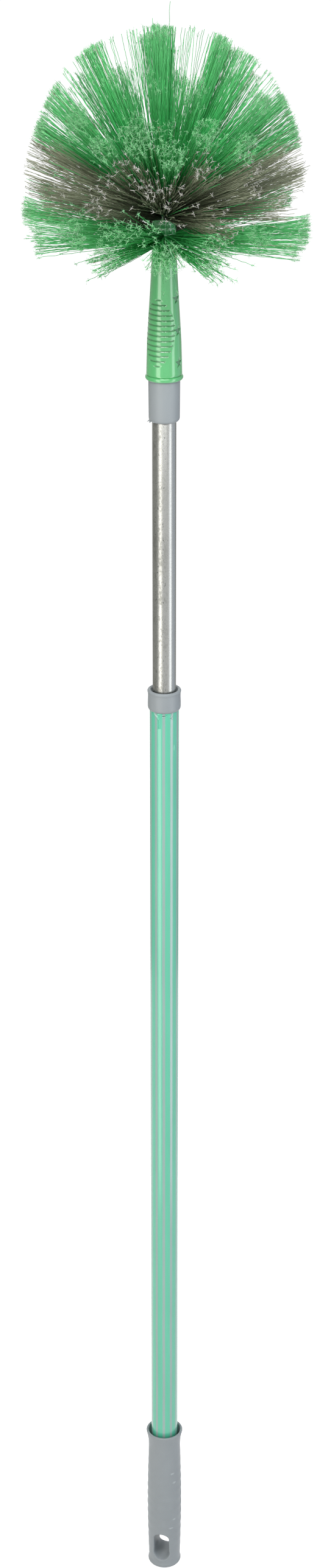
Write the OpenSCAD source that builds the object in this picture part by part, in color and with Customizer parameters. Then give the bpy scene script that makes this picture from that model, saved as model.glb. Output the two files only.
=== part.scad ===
// Telescopic cobweb brush: two steel tubes with a twist lock, and a domed brush head.
// It stands on its butt end at the origin and points up along Z.
// The side that the user sees first is at -Y.

/* [Handle tube] */
// Length of the outer tube
tube_len = 765.5; // [600:0.5:1000]
// Outside diameter of the outer tube with its film
tube_d = 22; // [21:0.5:26]
// Wall of the outer steel tube
tube_wall = 0.6; // [0.4:0.1:0.9]
// Thickness of the striped film on the outer tube
film_t = 0.2; // [0.1:0.05:0.4]

/* [Grip] */
// Length of the grip
grip_len = 138.7; // [110:0.5:180]
// Solid length at the butt end, below the tube
grip_end = 50; // [46:1:60]
// Diameter at the belly of the grip
grip_belly_d = 29; // [27:0.5:36]
// Diameter at the neck, below the lip
grip_neck_d = 26.6; // [25:0.5:32]
// Diameter of the flared lip
grip_lip_d = 30.5; // [28:0.5:36]
// Diameter of the bead round the butt end
grip_butt_d = 28; // [26:0.5:34]
// Width of the ring left open between the lip and the tube
grip_mouth_gap = 2.1; // [0.5:0.1:2.5]
// Depth of the flared mouth
grip_mouth_depth = 10; // [4:0.5:16]
// Height of the flare under the lip
grip_flare_h = 17; // [8:1:24]
// Spacing of the finger rings
wave_pitch = 9; // [6:0.5:14]
// Height of the finger rings
wave_depth = 0.3; // [0:0.1:1]
// Width of the hanging slot
slot_w = 13; // [8:0.5:16]
// Height of the hanging slot
slot_h = 27; // [18:0.5:30]
// Height of the slot's middle above the butt end
slot_z = 22.5; // [20:0.5:30]
// Turn of the slot from the front
slot_turn = -13; // [-90:1:90]

/* [Collar] */
// Length of the collar's skirt below the end of the tube
collar_skirt = 14; // [10:1:30]
// Thickness of the collar above the end of the tube
collar_web = 2; // [1.2:0.2:4]
// Diameter of the collar's body
collar_d = 24.8; // [24:0.1:28]
// Diameter of the collar's lip
collar_lip_d = 25.4; // [24.6:0.1:30]
// Width of the ring left open between the lip and the inner tube
collar_mouth_gap = 1.15; // [0.5:0.05:1.6]
// Depth of the flared mouth
collar_mouth_depth = 3.5; // [2:0.25:6]
// Height of the rounding at the collar's lower edge
collar_round_h = 2.6; // [1:0.1:4]
// Length of the guide bush inside the outer tube
bush_len = 26; // [15:1:40]

/* [Inner tube] */
// Outside diameter of the inner tube
pole_d = 17.5; // [16:0.25:18]
// Wall of the inner steel tube
pole_wall = 0.6; // [0.4:0.1:0.9]
// Length of the inner tube
pole_len = 720; // [600:1:740]
// Length of the inner tube between the collar and the tip, as shown
pole_shown = 208; // [60:1:400]

/* [Twist lock] */
// Length of the plug inside the inner tube
plug_len = 26; // [15:1:40]
// Thickness of the plug's flange
plug_flange_t = 4; // [2:0.5:6]
// Diameter of the spindle
spindle_d = 8; // [6:0.5:9]
// Length of the expander
expander_len = 36; // [30:1:46]
// Thickness of the expander's top wall
expander_top_t = 4; // [2.5:0.5:5]
// Wall of the expander's fingers
expander_wall = 2.4; // [1.6:0.1:3]
// Number of slots that split the expander
expander_slots = 4; // [3:1:6]
// Width of each slot
expander_slot_w = 2.4; // [1.6:0.1:3]
// Length of the cone nut
cone_len = 20; // [14:1:24]
// Length of the tapered part of the cone nut
cone_taper = 13; // [8:1:14]
// Narrowing of the taper, measured on the radius
cone_draft = 1.8; // [1:0.1:2]
// Travel of the cone nut from locked to free
cone_travel = 4; // [2:0.5:5]
// Thickness of the retaining clip
clip_t = 1.4; // [1:0.1:2]
// Thickness of the stop washer
washer_t = 1.2; // [0.8:0.1:2]
// Diameter of the stop screw's shank
screw_d = 3; // [2:0.5:4]
// Length of the stop screw's shank
screw_len = 16; // [10:1:24]

/* [Pole tip] */
// Diameter of the tip's sleeve at its lower end
tip_d = 22.5; // [21:0.5:25]
// Widening of the sleeve towards the head, measured on the radius
tip_draft = 0.2; // [0:0.05:0.5]
// Length of the tip's sleeve
tip_len = 31; // [20:1:45]
// Thickness above the end of the inner tube
tip_web = 4; // [2:0.5:6]
// Height of the bevel at the sleeve's lower end
tip_bevel = 2.7; // [1:0.1:4]
// Diameter of the nose that the brush head screws on
nose_d = 19; // [16:0.5:19.5]
// Length of the nose
nose_len = 34; // [20:1:40]
// Wall of the hollow nose
nose_wall = 2.4; // [1.5:0.1:4]

/* [Brush head] */
// Turn of the brush head from the front
head_turn = -25; // [-180:1:180]
// Length of the socket and stem below the bristles
block_len = 97.2; // [90:0.2:130]
// Diameter of the flange at the mouth of the socket
flange_d = 27.4; // [26.6:0.1:30]
// Height of the flange
flange_h = 3.6; // [3:0.2:8]
// Diameter of the socket just above the flange
socket_d = 25.9; // [24.5:0.1:26.5]
// Diameter of the stem where the bristles begin
hub_d = 17; // [16:0.5:19]
// Height of each thumb pad
pad_h = 49.4; // [30:0.2:60]
// Width of each thumb pad, measured straight across
pad_w = 22.2; // [14:0.2:23.6]
// Height of the middle of the pads above the mouth of the socket
pad_z = 35.5; // [32:0.5:42]
// Spacing of the ribs on the pads
rib_pitch = 3.65; // [3:0.05:6]
// Height of the ribs on the pads
rib_depth = 0.8; // [0.3:0.1:1.2]
// Number of stars in each column
stars = 3; // [0:1:4]
// Turn of the columns of stars from the middles of the pads
star_turn = 84; // [70:1:110]
// Height of the middle star above the mouth of the socket
star_z = 36.5; // [32:0.5:42]
// Size of each star from its middle to a point
star_r = 4.5; // [2:0.1:5]
// Spacing of the stars
star_pitch = 23; // [12:0.5:24]
// Depth of the stars
star_depth = 0.7; // [0.2:0.1:0.9]

/* [Bristles] */
// Radius of the dome of bristles
dome_r = 100; // [80:1:120]
// Height of the dome above the middle of the hub
dome_rise = 132; // [100:1:150]
// Height of each ring of tufts on the hub
ring_h = 4.1; // [4:0.1:6]
// Height of the crown that carries the middle tuft
crown_h = 3.2; // [2:0.2:5]
// Radius of a tuft where it leaves the hub
tuft_r = 1.55; // [1:0.05:1.7]
// Turn of the lowest ring of tufts from the sides of the pads
tuft_turn = -7; // [-20:1:20]
// Bristles in each tuft
tuft_strands = 6; // [5:1:8]
// Bristles in the middle tuft
crown_strands = 9; // [5:1:12]
// Radius of a tuft at the outside of the dome
tuft_spread = 12.5; // [8:0.5:14]
// Half width of a bristle
strand_r = 0.5; // [0.3:0.05:0.6]
// Drop of the lowest bristles at their tips
strand_sag = 2; // [0:0.5:8]
// Width of the flat anchor that holds a tuft
anchor_w = 1.8; // [1:0.1:2]
// Thickness of an anchor
anchor_t = 0.5; // [0.3:0.05:0.7]
// Height of an anchor
anchor_h = 1.6; // [1:0.1:2.2]

/* [Clearances] */
// Radial clearance where a piece turns or slides
run_clear = 0.06; // [0.02:0.01:0.09]
// Radial clearance where a piece is pushed on and stays
seat_clear = 0.03; // [0.01:0.01:0.06]
// Play between the faces of pieces that turn on each other
face_clear = 0.3; // [0.1:0.05:0.4]

/* [Hidden] */
$fn = 96;

// Colours, as the real pieces look
steel_colour = "#b9bbb8";
dull_steel_colour = "#8e908c";
film_colour = "#6fd0b2";
grip_colour = "#9aa1a4";
lock_colour = "#d8d6cc";
green_colour = "#63b97c";
bristle_green = "#3fae62";
bristle_grey = "#6d6a58";

// Overrun of every cut past the face that it opens
over = 1;
// Steps of a rounded edge and of a shaped outline
round_steps = 6;
wave_steps = 4;

// Heights of the faces that the pieces meet at
tube_z = grip_end;
tube_top = tube_z + tube_len;
collar_top = tube_top + collar_web;
tip_z = collar_top + pole_shown;
tip_top = tip_z + tip_len;
pole_top = tip_top - tip_web;
pole_z = pole_top - pole_len;
flange_z = pole_z - plug_flange_t;
expander_top = flange_z - face_clear;
expander_z = expander_top - expander_len;
stem_top = tip_top + block_len;

// Radii of the tubes
tube_r = tube_d / 2;
steel_r = tube_r - film_t;
bore_r = steel_r - tube_wall;
pole_r = pole_d / 2;
pole_bore_r = pole_r - pole_wall;

// Twist lock
spindle_r = spindle_d / 2;
expander_r = bore_r - run_clear;
expander_bore_r = expander_r - expander_wall;
finger_slot_h = expander_len - expander_top_t * 2;
plug_flange_r = bore_r - run_clear * 2;
clip_groove_share = 0.75;
clip_r = expander_bore_r - face_clear;
clip_mouth_share = 0.55;
clip_top = expander_top - expander_top_t - face_clear;
clip_z = clip_top - clip_t;
// Radial gap between the two tapers when the lock is tight
taper_gap = face_clear;
seat_r = expander_r - expander_wall / 4;
cone_r = seat_r - taper_gap;
cone_top = expander_z + cone_taper;
cone_z = cone_top - cone_len;
// The washer stops the cone nut at the end of its travel
spindle_z = cone_z - cone_travel - face_clear;
key_share = 0.75;
key_r = expander_r - expander_wall / 4;
washer_top = spindle_z;
washer_z = washer_top - washer_t;
washer_r = spindle_r + screw_d / 2;
screw_r = screw_d / 2;
screw_head_r = screw_d;
screw_head_h = screw_d * 0.7;
screw_socket_share = 0.45;

// Grip outline
butt_round = grip_butt_d / 10;
butt_r = grip_butt_d / 2;
waist_z = butt_round * 2.6;
neck_z = grip_len - grip_flare_h;
neck_r = grip_neck_d / 2;
belly_r = grip_belly_d / 2;
lip_r = grip_lip_d / 2;
mouth_r = tube_r + grip_mouth_gap;
lip_round = (lip_r - mouth_r) / 2;
flare_power = 2.2;

// Collar outline
collar_r = collar_d / 2;
collar_lip_r = collar_lip_d / 2;
collar_mouth_r = pole_r + collar_mouth_gap;
collar_lip_round = (collar_lip_r - collar_mouth_r) / 2;
collar_z = tube_top - collar_skirt;
collar_edge_share = 0.9;
collar_waist_share = 0.988;

// Pole tip
tip_r = tip_d / 2;
nose_r = nose_d / 2;
nose_top = tip_top + nose_len;
nose_bevel = nose_wall * 0.6;
tip_edge = nose_wall * 0.15;

// Brush block: radii along the stem, as shares of its drop from the socket to the hub
socket_r = socket_d / 2;
hub_r = hub_d / 2;
flange_r = flange_d / 2;
cone_base = tip_top + flange_h;
stem_drop = socket_r - hub_r;
stem_height_shares = [0, 0.06, 0.14, 0.25, 0.34, 0.44, 0.54, 0.64, 0.74, 0.88, 1];
stem_drop_shares = [0, 0.03, 0.07, 0.135, 0.235, 0.365, 0.495, 0.62, 0.745, 0.905, 1];
groove_share = 0.5;
groove_depth = flange_r - socket_r;
socket_depth = nose_len + face_clear;
pad_side_steps = 28;
pad_mid = tip_top + pad_z;
ribs = ceil(pad_h / rib_pitch) + 1;
rib_steps = 4;
// The ribs stand a little lower than the socket round them
rib_crest_share = 0.9;
star_inner_share = 0.42;
star_mid = tip_top + star_z;

// Rings of tufts, from the lowest to the one below the crown
ring_count = 9;
ring_tufts = [9, 9, 9, 9, 9, 9, 9, 6, 5];
ring_angles = [-6.5, 0, 11, 20.5, 29, 38, 47.5, 62, 74];
// Turn of each ring, as a share of the space between its tufts
ring_turn_shares = [0, 0.5, 0, 0.5, 0, 0.5, 0, 0.25, 0.95];
ring_sag_shares = [1, 0.8, 0.4, 0.2, 0.1, 0, 0, 0, 0];
ring_radius_shares = [1, 1, 1, 0.985, 0.96, 0.92, 0.85, 0.72, 0.54];
crown_radius_share = 0.34;
core_share = 0.62;
cell_share = 0.72;
dome_power = 2.3;
dome_mid = stem_top + ring_h * ring_count / 2;
crown_z = stem_top + ring_h * ring_count;
core_top = crown_z - face_clear;
inner_strand_share = 0.45;
root_share = 0.55;
low_level_share = 0.06;
mid_level_share = 0.5;
trim_share = 0.012;
anchor_clear = seat_clear * 2;

// Points of a round edge about a centre, from one angle to another
function arc(cx, cz, r, from, to, steps = round_steps) =
    [for (i = [0:steps]) let (a = from + (to - from) * i / steps) [cx + r * cos(a), cz + r * sin(a)]];

// Radius of the grip between its waist and its neck: a long belly with low finger rings
function grip_r(z) =
    let (t = (z - waist_z) / (neck_z - waist_z), body = sin(180 * t))
    neck_r + (belly_r - neck_r) * body - wave_depth / 2 * (1 - cos(360 * z / wave_pitch)) * body;

// Radius of the flare at a share of its height
function flare_r(t) = neck_r + (lip_r - neck_r) * pow(t, flare_power);

// Radius of the stem at a height above the foot of the cone
function stem_r(z) = socket_r - stem_drop * lookup((z - cone_base) / (stem_top - cone_base),
    [for (i = [0:len(stem_height_shares) - 1]) [stem_height_shares[i], stem_drop_shares[i]]]);

// Outline of the stem, drawn in by a depth
function stem_outline(depth) = [for (t = stem_height_shares)
    let (z = cone_base + t * (stem_top - cone_base)) [stem_r(z) - depth, z]];

// A tube or a solid rod standing on a height
module tube(r, bore, z, h) {
    translate([0, 0, z])
        difference() {
            cylinder(r = r, h = h);
            translate([0, 0, -over]) cylinder(r = bore, h = h + 2 * over);
        }
}

module rod(r, z, h) {
    translate([0, 0, z]) cylinder(r = r, h = h);
}

module outer_tube() {
    color(steel_colour) tube(steel_r, bore_r, tube_z, tube_len);
}

module tube_film() {
    color(film_colour) tube(tube_r, steel_r, tube_z, tube_len);
}

// Grip: a soft sleeve with a belly, finger rings, a flared lip and a hanging slot
module grip() {
    wave_count = floor((neck_z - waist_z) / wave_pitch * wave_steps);
    sleeve_r = tube_r + seat_clear;
    funnel_z = grip_len - lip_round - grip_mouth_depth;
    outline = concat(
        [[0, 0]],
        arc(butt_r - butt_round, butt_round, butt_round, -90, 30),
        [for (i = [0:wave_count]) let (z = waist_z + (neck_z - waist_z) * i / wave_count)
            [grip_r(z), z]],
        [for (i = [1:round_steps]) let (t = i / round_steps)
            [flare_r(t), neck_z + (grip_len - lip_round - neck_z) * t]],
        arc(lip_r - lip_round, grip_len - lip_round, lip_round, 15, 180),
        [[sleeve_r, funnel_z], [sleeve_r, grip_end], [0, grip_end]]);
    color(grip_colour)
        difference() {
            rotate_extrude() polygon(outline);
            rotate([0, 0, slot_turn]) hanging_slot();
        }
}

// Through slot with round ends
module hanging_slot() {
    end_z = (slot_h - slot_w) / 2;
    depth = grip_butt_d + grip_belly_d;
    translate([0, 0, slot_z]) {
        for (side = [-1, 1])
            translate([0, depth / 2, side * end_z])
                rotate([90, 0, 0]) cylinder(d = slot_w, h = depth);
        cube([slot_w, depth, 2 * end_z], center = true);
    }
}

// Collar: a cap over the end of the outer tube, with a guide bush inside it
module collar() {
    bush_r = bore_r - seat_clear;
    guide_r = pole_r + run_clear;
    skirt_r = tube_r + seat_clear;
    outline = concat(
        [[guide_r, collar_top - collar_mouth_depth]],
        arc(collar_lip_r - collar_lip_round, collar_top - collar_lip_round, collar_lip_round, 180, -40),
        [[collar_r * collar_waist_share, collar_top - collar_lip_round * 3],
            [collar_r, collar_z + collar_skirt / 2]],
        [for (i = [0:round_steps]) let (a = 90 * i / round_steps)
            [collar_r - (collar_r - skirt_r) * collar_edge_share * (1 - cos(a)),
                collar_z + collar_round_h * (1 - sin(a))]],
        [[skirt_r, collar_z], [skirt_r, tube_top], [bush_r, tube_top],
            [bush_r, tube_top - bush_len], [guide_r, tube_top - bush_len]]);
    color(grip_colour) rotate_extrude() polygon(outline);
}

module inner_tube() {
    color(steel_colour) tube(pole_r, pole_bore_r, pole_z, pole_len);
}

// Spindle plug: pressed into the inner tube, it carries the whole lock on its spindle
module spindle_plug() {
    groove_z = clip_z - seat_clear;
    groove_h = clip_t + 2 * seat_clear;
    color(lock_colour)
        difference() {
            union() {
                rod(pole_bore_r - seat_clear, pole_z, plug_len);
                rod(plug_flange_r, flange_z, plug_flange_t);
                rod(spindle_r, spindle_z, flange_z - spindle_z);
            }
            tube(spindle_r + over, spindle_r * clip_groove_share, groove_z, groove_h);
            rod(screw_r + seat_clear, spindle_z - over, screw_len + over);
        }
}

// Retaining clip: an open ring snapped into the spindle's groove
module retaining_clip() {
    mouth = spindle_d * clip_mouth_share;
    color(dull_steel_colour)
        difference() {
            tube(clip_r, spindle_r * clip_groove_share + seat_clear, clip_z, clip_t);
            translate([0, -mouth / 2, clip_z - over]) cube([clip_r + over, mouth, clip_t + 2 * over]);
        }
}

// Expander: its fingers are spread by the cone nut and grip the outer tube
module expander() {
    outline = [[spindle_r + run_clear, expander_top], [expander_r, expander_top],
        [expander_r, expander_z], [seat_r, expander_z],
        [seat_r - cone_draft, expander_z + cone_taper],
        [expander_bore_r, expander_z + cone_taper + cone_draft],
        [expander_bore_r, expander_top - expander_top_t],
        [spindle_r + run_clear, expander_top - expander_top_t]];
    color(lock_colour)
        difference() {
            rotate_extrude() polygon(outline);
            for (i = [0:expander_slots - 1])
                rotate([0, 0, 360 * i / expander_slots])
                    translate([spindle_r + over, -expander_slot_w / 2, expander_z - over])
                        cube([expander_r, expander_slot_w, finger_slot_h + over]);
        }
}

// Cone nut: runs along the spindle's thread and is keyed into the expander's slots
module cone_nut() {
    key_w = expander_slot_w * key_share;
    outline = [[spindle_r + run_clear, cone_z], [cone_r, cone_z], [cone_r, expander_z],
        [cone_r - cone_draft, cone_top], [spindle_r + run_clear, cone_top]];
    color(lock_colour)
        union() {
            rotate_extrude() polygon(outline);
            for (i = [0:expander_slots - 1])
                rotate([0, 0, 360 * i / expander_slots])
                    translate([cone_r - cone_draft * 2, -key_w / 2, cone_z])
                        cube([key_r - cone_r + cone_draft * 2, key_w, cone_len - cone_draft]);
        }
}

module stop_washer() {
    color(dull_steel_colour) tube(washer_r, screw_r + seat_clear, washer_z, washer_t);
}

// Stop screw: a domed head with a hexagon socket below the washer
module stop_screw() {
    color(dull_steel_colour)
        difference() {
            union() {
                rod(screw_r, washer_z, screw_len);
                rod(screw_head_r, washer_z - screw_head_h, screw_head_h);
            }
            translate([0, 0, washer_z - screw_head_h - over])
                cylinder(r = screw_head_r * screw_socket_share, h = screw_head_h / 2 + over, $fn = 6);
        }
}

// Pole tip: a sleeve over the end of the inner tube, with a hollow nose for the brush head
module pole_tip() {
    sleeve_r = pole_r + seat_clear;
    hollow_r = nose_r - nose_wall;
    outline = concat(
        [[sleeve_r, tip_z], [sleeve_r + tip_edge, tip_z], [tip_r, tip_z + tip_bevel]],
        arc(tip_r + tip_draft - tip_edge, tip_top - tip_edge, tip_edge, 0, 90),
        [[nose_r, tip_top], [nose_r, nose_top - nose_bevel], [nose_r - nose_bevel, nose_top],
            [0, nose_top], [0, nose_top - nose_wall], [hollow_r, nose_top - nose_wall],
            [hollow_r, pole_top], [sleeve_r, pole_top]]);
    color(grip_colour) rotate_extrude() polygon(outline);
}

// Brush block: a socket with thumb pads and stars, a tapering stem and the core of the hub
module brush_block() {
    color(green_colour)
        difference() {
            union() {
                block_body();
                for (k = [0:ring_count - 1])
                    rod(core_r(k), stem_top - over, ring_h * (k + 1) + over - top_gap(k));
            }
            rotate([0, 0, head_turn]) {
                for (side = [0, 180]) rotate([0, 0, side]) thumb_pad_cut();
                for (side = [0, 180]) rotate([0, 0, side + star_turn]) star_column_cut();
            }
            rod(nose_r + run_clear, tip_top - over, socket_depth + over);
            for (k = [0:ring_count - 1])
                for (j = [0:ring_tufts[k] - 1])
                    place_anchor(k, j) anchor_block(anchor_clear, over);
        }
}

// The core stops a little short of the crown, and its steps end flush with the rings
function top_gap(k) = k == ring_count - 1 ? face_clear : 0;

// Outline of the block without its cuts
module block_body() {
    bead = flange_h / 2;
    outline = concat(
        [[0, tip_top], [flange_r - bead * 0.6, tip_top]],
        [for (i = [1:round_steps - 1]) let (a = -90 + 180 * i / round_steps)
            [flange_r - bead * 0.6 * (1 - cos(a)), tip_top + bead * (1 + sin(a))]],
        [[socket_r - groove_depth, cone_base - groove_depth * groove_share]],
        [for (p = stem_outline(0)) p],
        [[0, stem_top]]);
    rotate_extrude() polygon(outline);
}

// Oval recess that leaves rounded ribs standing, on the front of the socket
module thumb_pad_cut() {
    reach = flange_d;
    rib_line = [for (i = [0:ribs - 1]) for (s = [0:rib_steps - 1])
        let (z = pad_mid + rib_pitch * (i - ribs / 2 + s / rib_steps))
        [stem_r(z) - rib_depth * (1 - rib_crest_share * sin(180 * s / rib_steps)), z]];
    outline = concat(rib_line, [[reach, rib_line[len(rib_line) - 1][1]], [reach, rib_line[0][1]]]);
    intersection() {
        rotate_extrude() polygon(outline);
        translate([0, 0, pad_mid])
            rotate([90, 0, 0])
                linear_extrude(reach)
                    polygon([for (i = [0:pad_side_steps - 1]) let (a = 360 * i / pad_side_steps)
                        [pad_w / 2 * cos(a), pad_h / 2 * sin(a)]]);
    }
}

// Column of shallow five-pointed stars, on the front of the socket
module star_column_cut() {
    reach = flange_d;
    floor_line = stem_outline(star_depth);
    outline = concat(floor_line, [[reach, stem_top], [reach, cone_base]]);
    intersection() {
        rotate_extrude() polygon(outline);
        for (i = [0:stars - 1])
            translate([0, 0, star_mid + star_pitch * (i - (stars - 1) / 2)])
                rotate([90, 0, 0])
                    linear_extrude(reach)
                        polygon([for (p = [0:9]) let (r = p % 2 == 0 ? star_r : star_r * star_inner_share)
                            [r * cos(90 + 36 * p), r * sin(90 + 36 * p)]]);
    }
}

// Rings of tufts: radius and height of each ring, and of the rims between them
function ring_r(k) = hub_r * ring_radius_shares[k];
function ring_z(k) = stem_top + ring_h * (k + 0.5);
function rim_r(k) = k == 0 ? hub_r
    : k == ring_count ? hub_r * (ring_radius_shares[k - 1] + crown_radius_share) / 2
    : hub_r * (ring_radius_shares[k - 1] + ring_radius_shares[k]) / 2;
function core_r(k) = rim_r(k + 1) * core_share;
function tuft_angle(k, j) = head_turn + tuft_turn + 360 * (j + ring_turn_shares[k]) / ring_tufts[k];

// Flat anchor at the foot of a tuft hole, its outer face inside the surface of the core
module anchor_block(clear, reach) {
    translate([-anchor_t - clear, -anchor_w / 2 - clear, -anchor_h / 2 - clear])
        cube([anchor_t + clear + reach, anchor_w + 2 * clear, anchor_h + 2 * clear]);
}

module place_anchor(k, j) {
    rotate([0, 0, tuft_angle(k, j)])
        translate([core_r(k) - anchor_t, 0, ring_z(k)]) children();
}

module tuft_anchors() {
    color(dull_steel_colour)
        for (k = [0:ring_count - 1])
            for (j = [0:ring_tufts[k] - 1])
                place_anchor(k, j) anchor_block(0, 0);
}

// Direction from an angle round the axis and an angle above the level
function heading(az, el) = [cos(el) * cos(az), cos(el) * sin(az), sin(el)];

// Distance from the middle of the hub to the dome, which is upright below its middle
function dome_reach(el) = el > 0
    ? pow(pow(cos(el) / dome_r, dome_power) + pow(sin(el) / dome_rise, dome_power), -1 / dome_power)
    : dome_r / cos(el);

// A point moved along its line from the middle of the hub until it is at a share of the dome
function on_dome(p, share) =
    let (v = p - [0, 0, dome_mid], el = asin(v[2] / norm(v)))
    [0, 0, dome_mid] + v / norm(v) * dome_reach(el) * share;

// A tuft's frame: foot, axis, sideways, upwards, length, spread and sag
function tuft_frame(foot, az, el, spread, sag) =
    let (v = [0, 0, dome_mid] + dome_reach(el) * heading(az, el) - foot,
        axis = v / norm(v), side = [-sin(az), cos(az), 0])
    [foot, axis, side, cross(axis, side), norm(v), spread, sag];

// A point of a tuft at a share of its length, given in polar form about its axis
function tuft_point(f, share, rho, beta) =
    f[0] + f[1] * f[4] * share - [0, 0, f[6] * share * share]
    + rho * (cos(beta) * f[2] + sin(beta) * f[3]);

// Three corners of a bristle at a share of the tuft's length
function strand_ring(f, count, i, share) =
    let (beta = 360 * (i + 0.5) / count, pick = i % 2 == 0 ? 1 : inner_strand_share,
        rho = tuft_r * root_share + (f[5] * pick - tuft_r * root_share) * share,
        mid = tuft_point(f, share, rho, beta), out = cos(beta) * f[2] + sin(beta) * f[3],
        along = cos(beta) * f[3] - sin(beta) * f[2])
    [for (q = [180, 300, 60]) mid + strand_r * (cos(q) * out + sin(q) * along)];

function strand_tip(f, count, i, j) =
    let (beta = 360 * (i + 0.5) / count, pick = i % 2 == 0 ? 1 : inner_strand_share)
    on_dome(tuft_point(f, 1, f[5] * pick, beta), 1 - trim_share * ((3 * i + 2 * j) % 4));

// All points of a tuft: its foot, the corners of its root, then seven points a bristle
function tuft_points(f, r, count, j) = concat(
    [f[0]],
    [for (i = [0:count - 1]) tuft_point(f, 0, r, 360 * i / count)],
    [for (i = [0:count - 1]) each concat(strand_ring(f, count, i, low_level_share),
        strand_ring(f, count, i, mid_level_share), [strand_tip(f, count, i, j)])]);

// Walls of a bristle between two levels, and its point
function level_faces(a, b) = [for (s = [0:2]) let (n = (s + 1) % 3) each
    [[a[s], a[n], b[n]], [a[s], b[n], b[s]]]];
function strand_faces(base, count, i) =
    let (root = [base, base + 1 + i, base + 1 + (i + 1) % count], low = base + 1 + count + 7 * i)
    concat(level_faces(root, [low, low + 1, low + 2]),
        level_faces([low, low + 1, low + 2], [low + 3, low + 4, low + 5]),
        [for (s = [0:2]) [low + 3 + s, low + 3 + (s + 1) % 3, low + 6]]);
function tuft_faces(base, count) = [for (i = [0:count - 1]) each strand_faces(base, count, i)];

// The field between the four corners of a cell and the root of its tuft
function quarter(i, count) = floor(((i + count) % count + 0.5) * 4 / count);
function field_faces(base, count, corners) = [for (i = [0:count - 1]) each concat(
    [[base + 1 + i, corners[quarter(i, count)], base + 1 + (i + 1) % count]],
    quarter(i, count) == quarter(i - 1, count) ? [] :
        [[base + 1 + i, corners[quarter(i - 1, count)], corners[quarter(i, count)]]])];

function turned(faces) = [for (f = faces) [f[2], f[1], f[0]]];

// One ring of tufts, grown out of its slice of the hub
module tuft_ring(k) {
    n = ring_tufts[k];
    s = tuft_strands;
    m = 2 * n;
    z_low = stem_top + ring_h * k;
    z_high = z_low + ring_h;
    hole_r = (core_r(k) + seat_clear) / cos(180 * cell_share / n);
    edge = [for (c = [0:m - 1]) tuft_angle(k, floor(c / 2)) + 180 / n * cell_share * (c % 2 * 2 - 1)];
    rims = [for (row = [[rim_r(k), z_low], [rim_r(k + 1), z_high], [hole_r, z_low], [hole_r, z_high]])
        for (a = edge) [row[0] * cos(a), row[0] * sin(a), row[1]]];
    feet = [for (j = [0:n - 1]) let (a = tuft_angle(k, j))
        tuft_frame([ring_r(k) * cos(a), ring_r(k) * sin(a), ring_z(k)], a, ring_angles[k],
            tuft_spread, strand_sag * ring_sag_shares[k])];
    points = concat(rims, [for (j = [0:n - 1]) each tuft_points(feet[j], tuft_r, s, j)]);
    step = 1 + s + 7 * s;
    slice = [for (c = [0:m - 1]) let (d = (c + 1) % m) each concat(
        c % 2 == 0 ? [] : [[c, d, m + d], [c, m + d, m + c]],
        [[3 * m + c, m + c, m + d], [3 * m + c, m + d, 3 * m + d]],
        [[2 * m + c, d, c], [2 * m + c, 2 * m + d, d]],
        [[2 * m + d, 2 * m + c, 3 * m + c], [2 * m + d, 3 * m + c, 3 * m + d]])];
    cells = [for (j = [0:n - 1]) each concat(
        field_faces(4 * m + j * step, s, [m + 2 * j + 1, m + 2 * j, 2 * j, 2 * j + 1]),
        tuft_faces(4 * m + j * step, s))];
    polyhedron(points, turned(concat(slice, cells)));
}

// The crown closes the hub and carries the tuft that points straight up
module crown_tuft() {
    s = crown_strands;
    r = tuft_r * 1.2;
    foot = tuft_frame([0, 0, crown_z + crown_h], 0, 90, tuft_spread, 0);
    rim = [for (i = [0:s - 1]) let (a = 90 + 360 * i / s)
        [rim_r(ring_count) * cos(a), rim_r(ring_count) * sin(a), crown_z]];
    points = concat(rim, tuft_points(foot, r, s, 0));
    cap = [for (i = [0:s - 1]) let (n = (i + 1) % s) each
        [[i, n, s + 1 + n], [i, s + 1 + n, s + 1 + i]]];
    base = [for (i = [1:s - 2]) [0, i + 1, i]];
    polyhedron(points, turned(concat(cap, base, tuft_faces(s, s))));
}

module tufts_low_1() { color(bristle_green) tuft_ring(0); }
module tufts_low_2() { color(bristle_green) tuft_ring(1); }
module tufts_grey_1() { color(bristle_grey) tuft_ring(2); }
module tufts_grey_2() { color(bristle_grey) tuft_ring(3); }
module tufts_grey_3() { color(bristle_grey) tuft_ring(4); }
module tufts_top_1() { color(bristle_green) tuft_ring(5); }
module tufts_top_2() { color(bristle_green) tuft_ring(6); }
module tufts_top_3() { color(bristle_green) tuft_ring(7); }
module tufts_top_4() { color(bristle_green) tuft_ring(8); }
module tufts_crown() { color(bristle_green) crown_tuft(); }

outer_tube();
tube_film();
collar();
grip();
expander();
cone_nut();
inner_tube();
spindle_plug();
retaining_clip();
stop_washer();
stop_screw();
pole_tip();
brush_block();
tuft_anchors();
tufts_low_1();
tufts_low_2();
tufts_grey_1();
tufts_grey_2();
tufts_grey_3();
tufts_top_1();
tufts_top_2();
tufts_top_3();
tufts_top_4();
tufts_crown();
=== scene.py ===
"""Looks of the telescopic cobweb brush.

A film-wrapped tube, a steel pole, a moulded socket and a dome of bristles. Pieces are in millimetres.
"""

import math

import bmesh
import bpy
import numpy as np
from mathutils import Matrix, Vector
from mathutils.geometry import delaunay_2d_cdt


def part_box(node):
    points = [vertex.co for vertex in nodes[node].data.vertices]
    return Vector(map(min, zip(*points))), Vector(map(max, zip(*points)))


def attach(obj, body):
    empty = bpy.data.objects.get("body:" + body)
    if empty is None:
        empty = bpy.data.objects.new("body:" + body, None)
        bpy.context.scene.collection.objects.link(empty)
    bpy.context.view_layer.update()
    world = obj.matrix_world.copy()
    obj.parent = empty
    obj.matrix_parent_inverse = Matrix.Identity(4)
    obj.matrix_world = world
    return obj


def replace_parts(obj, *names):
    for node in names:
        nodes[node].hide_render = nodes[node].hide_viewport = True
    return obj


MM = 0.001
TAU = 2 * math.pi

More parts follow.
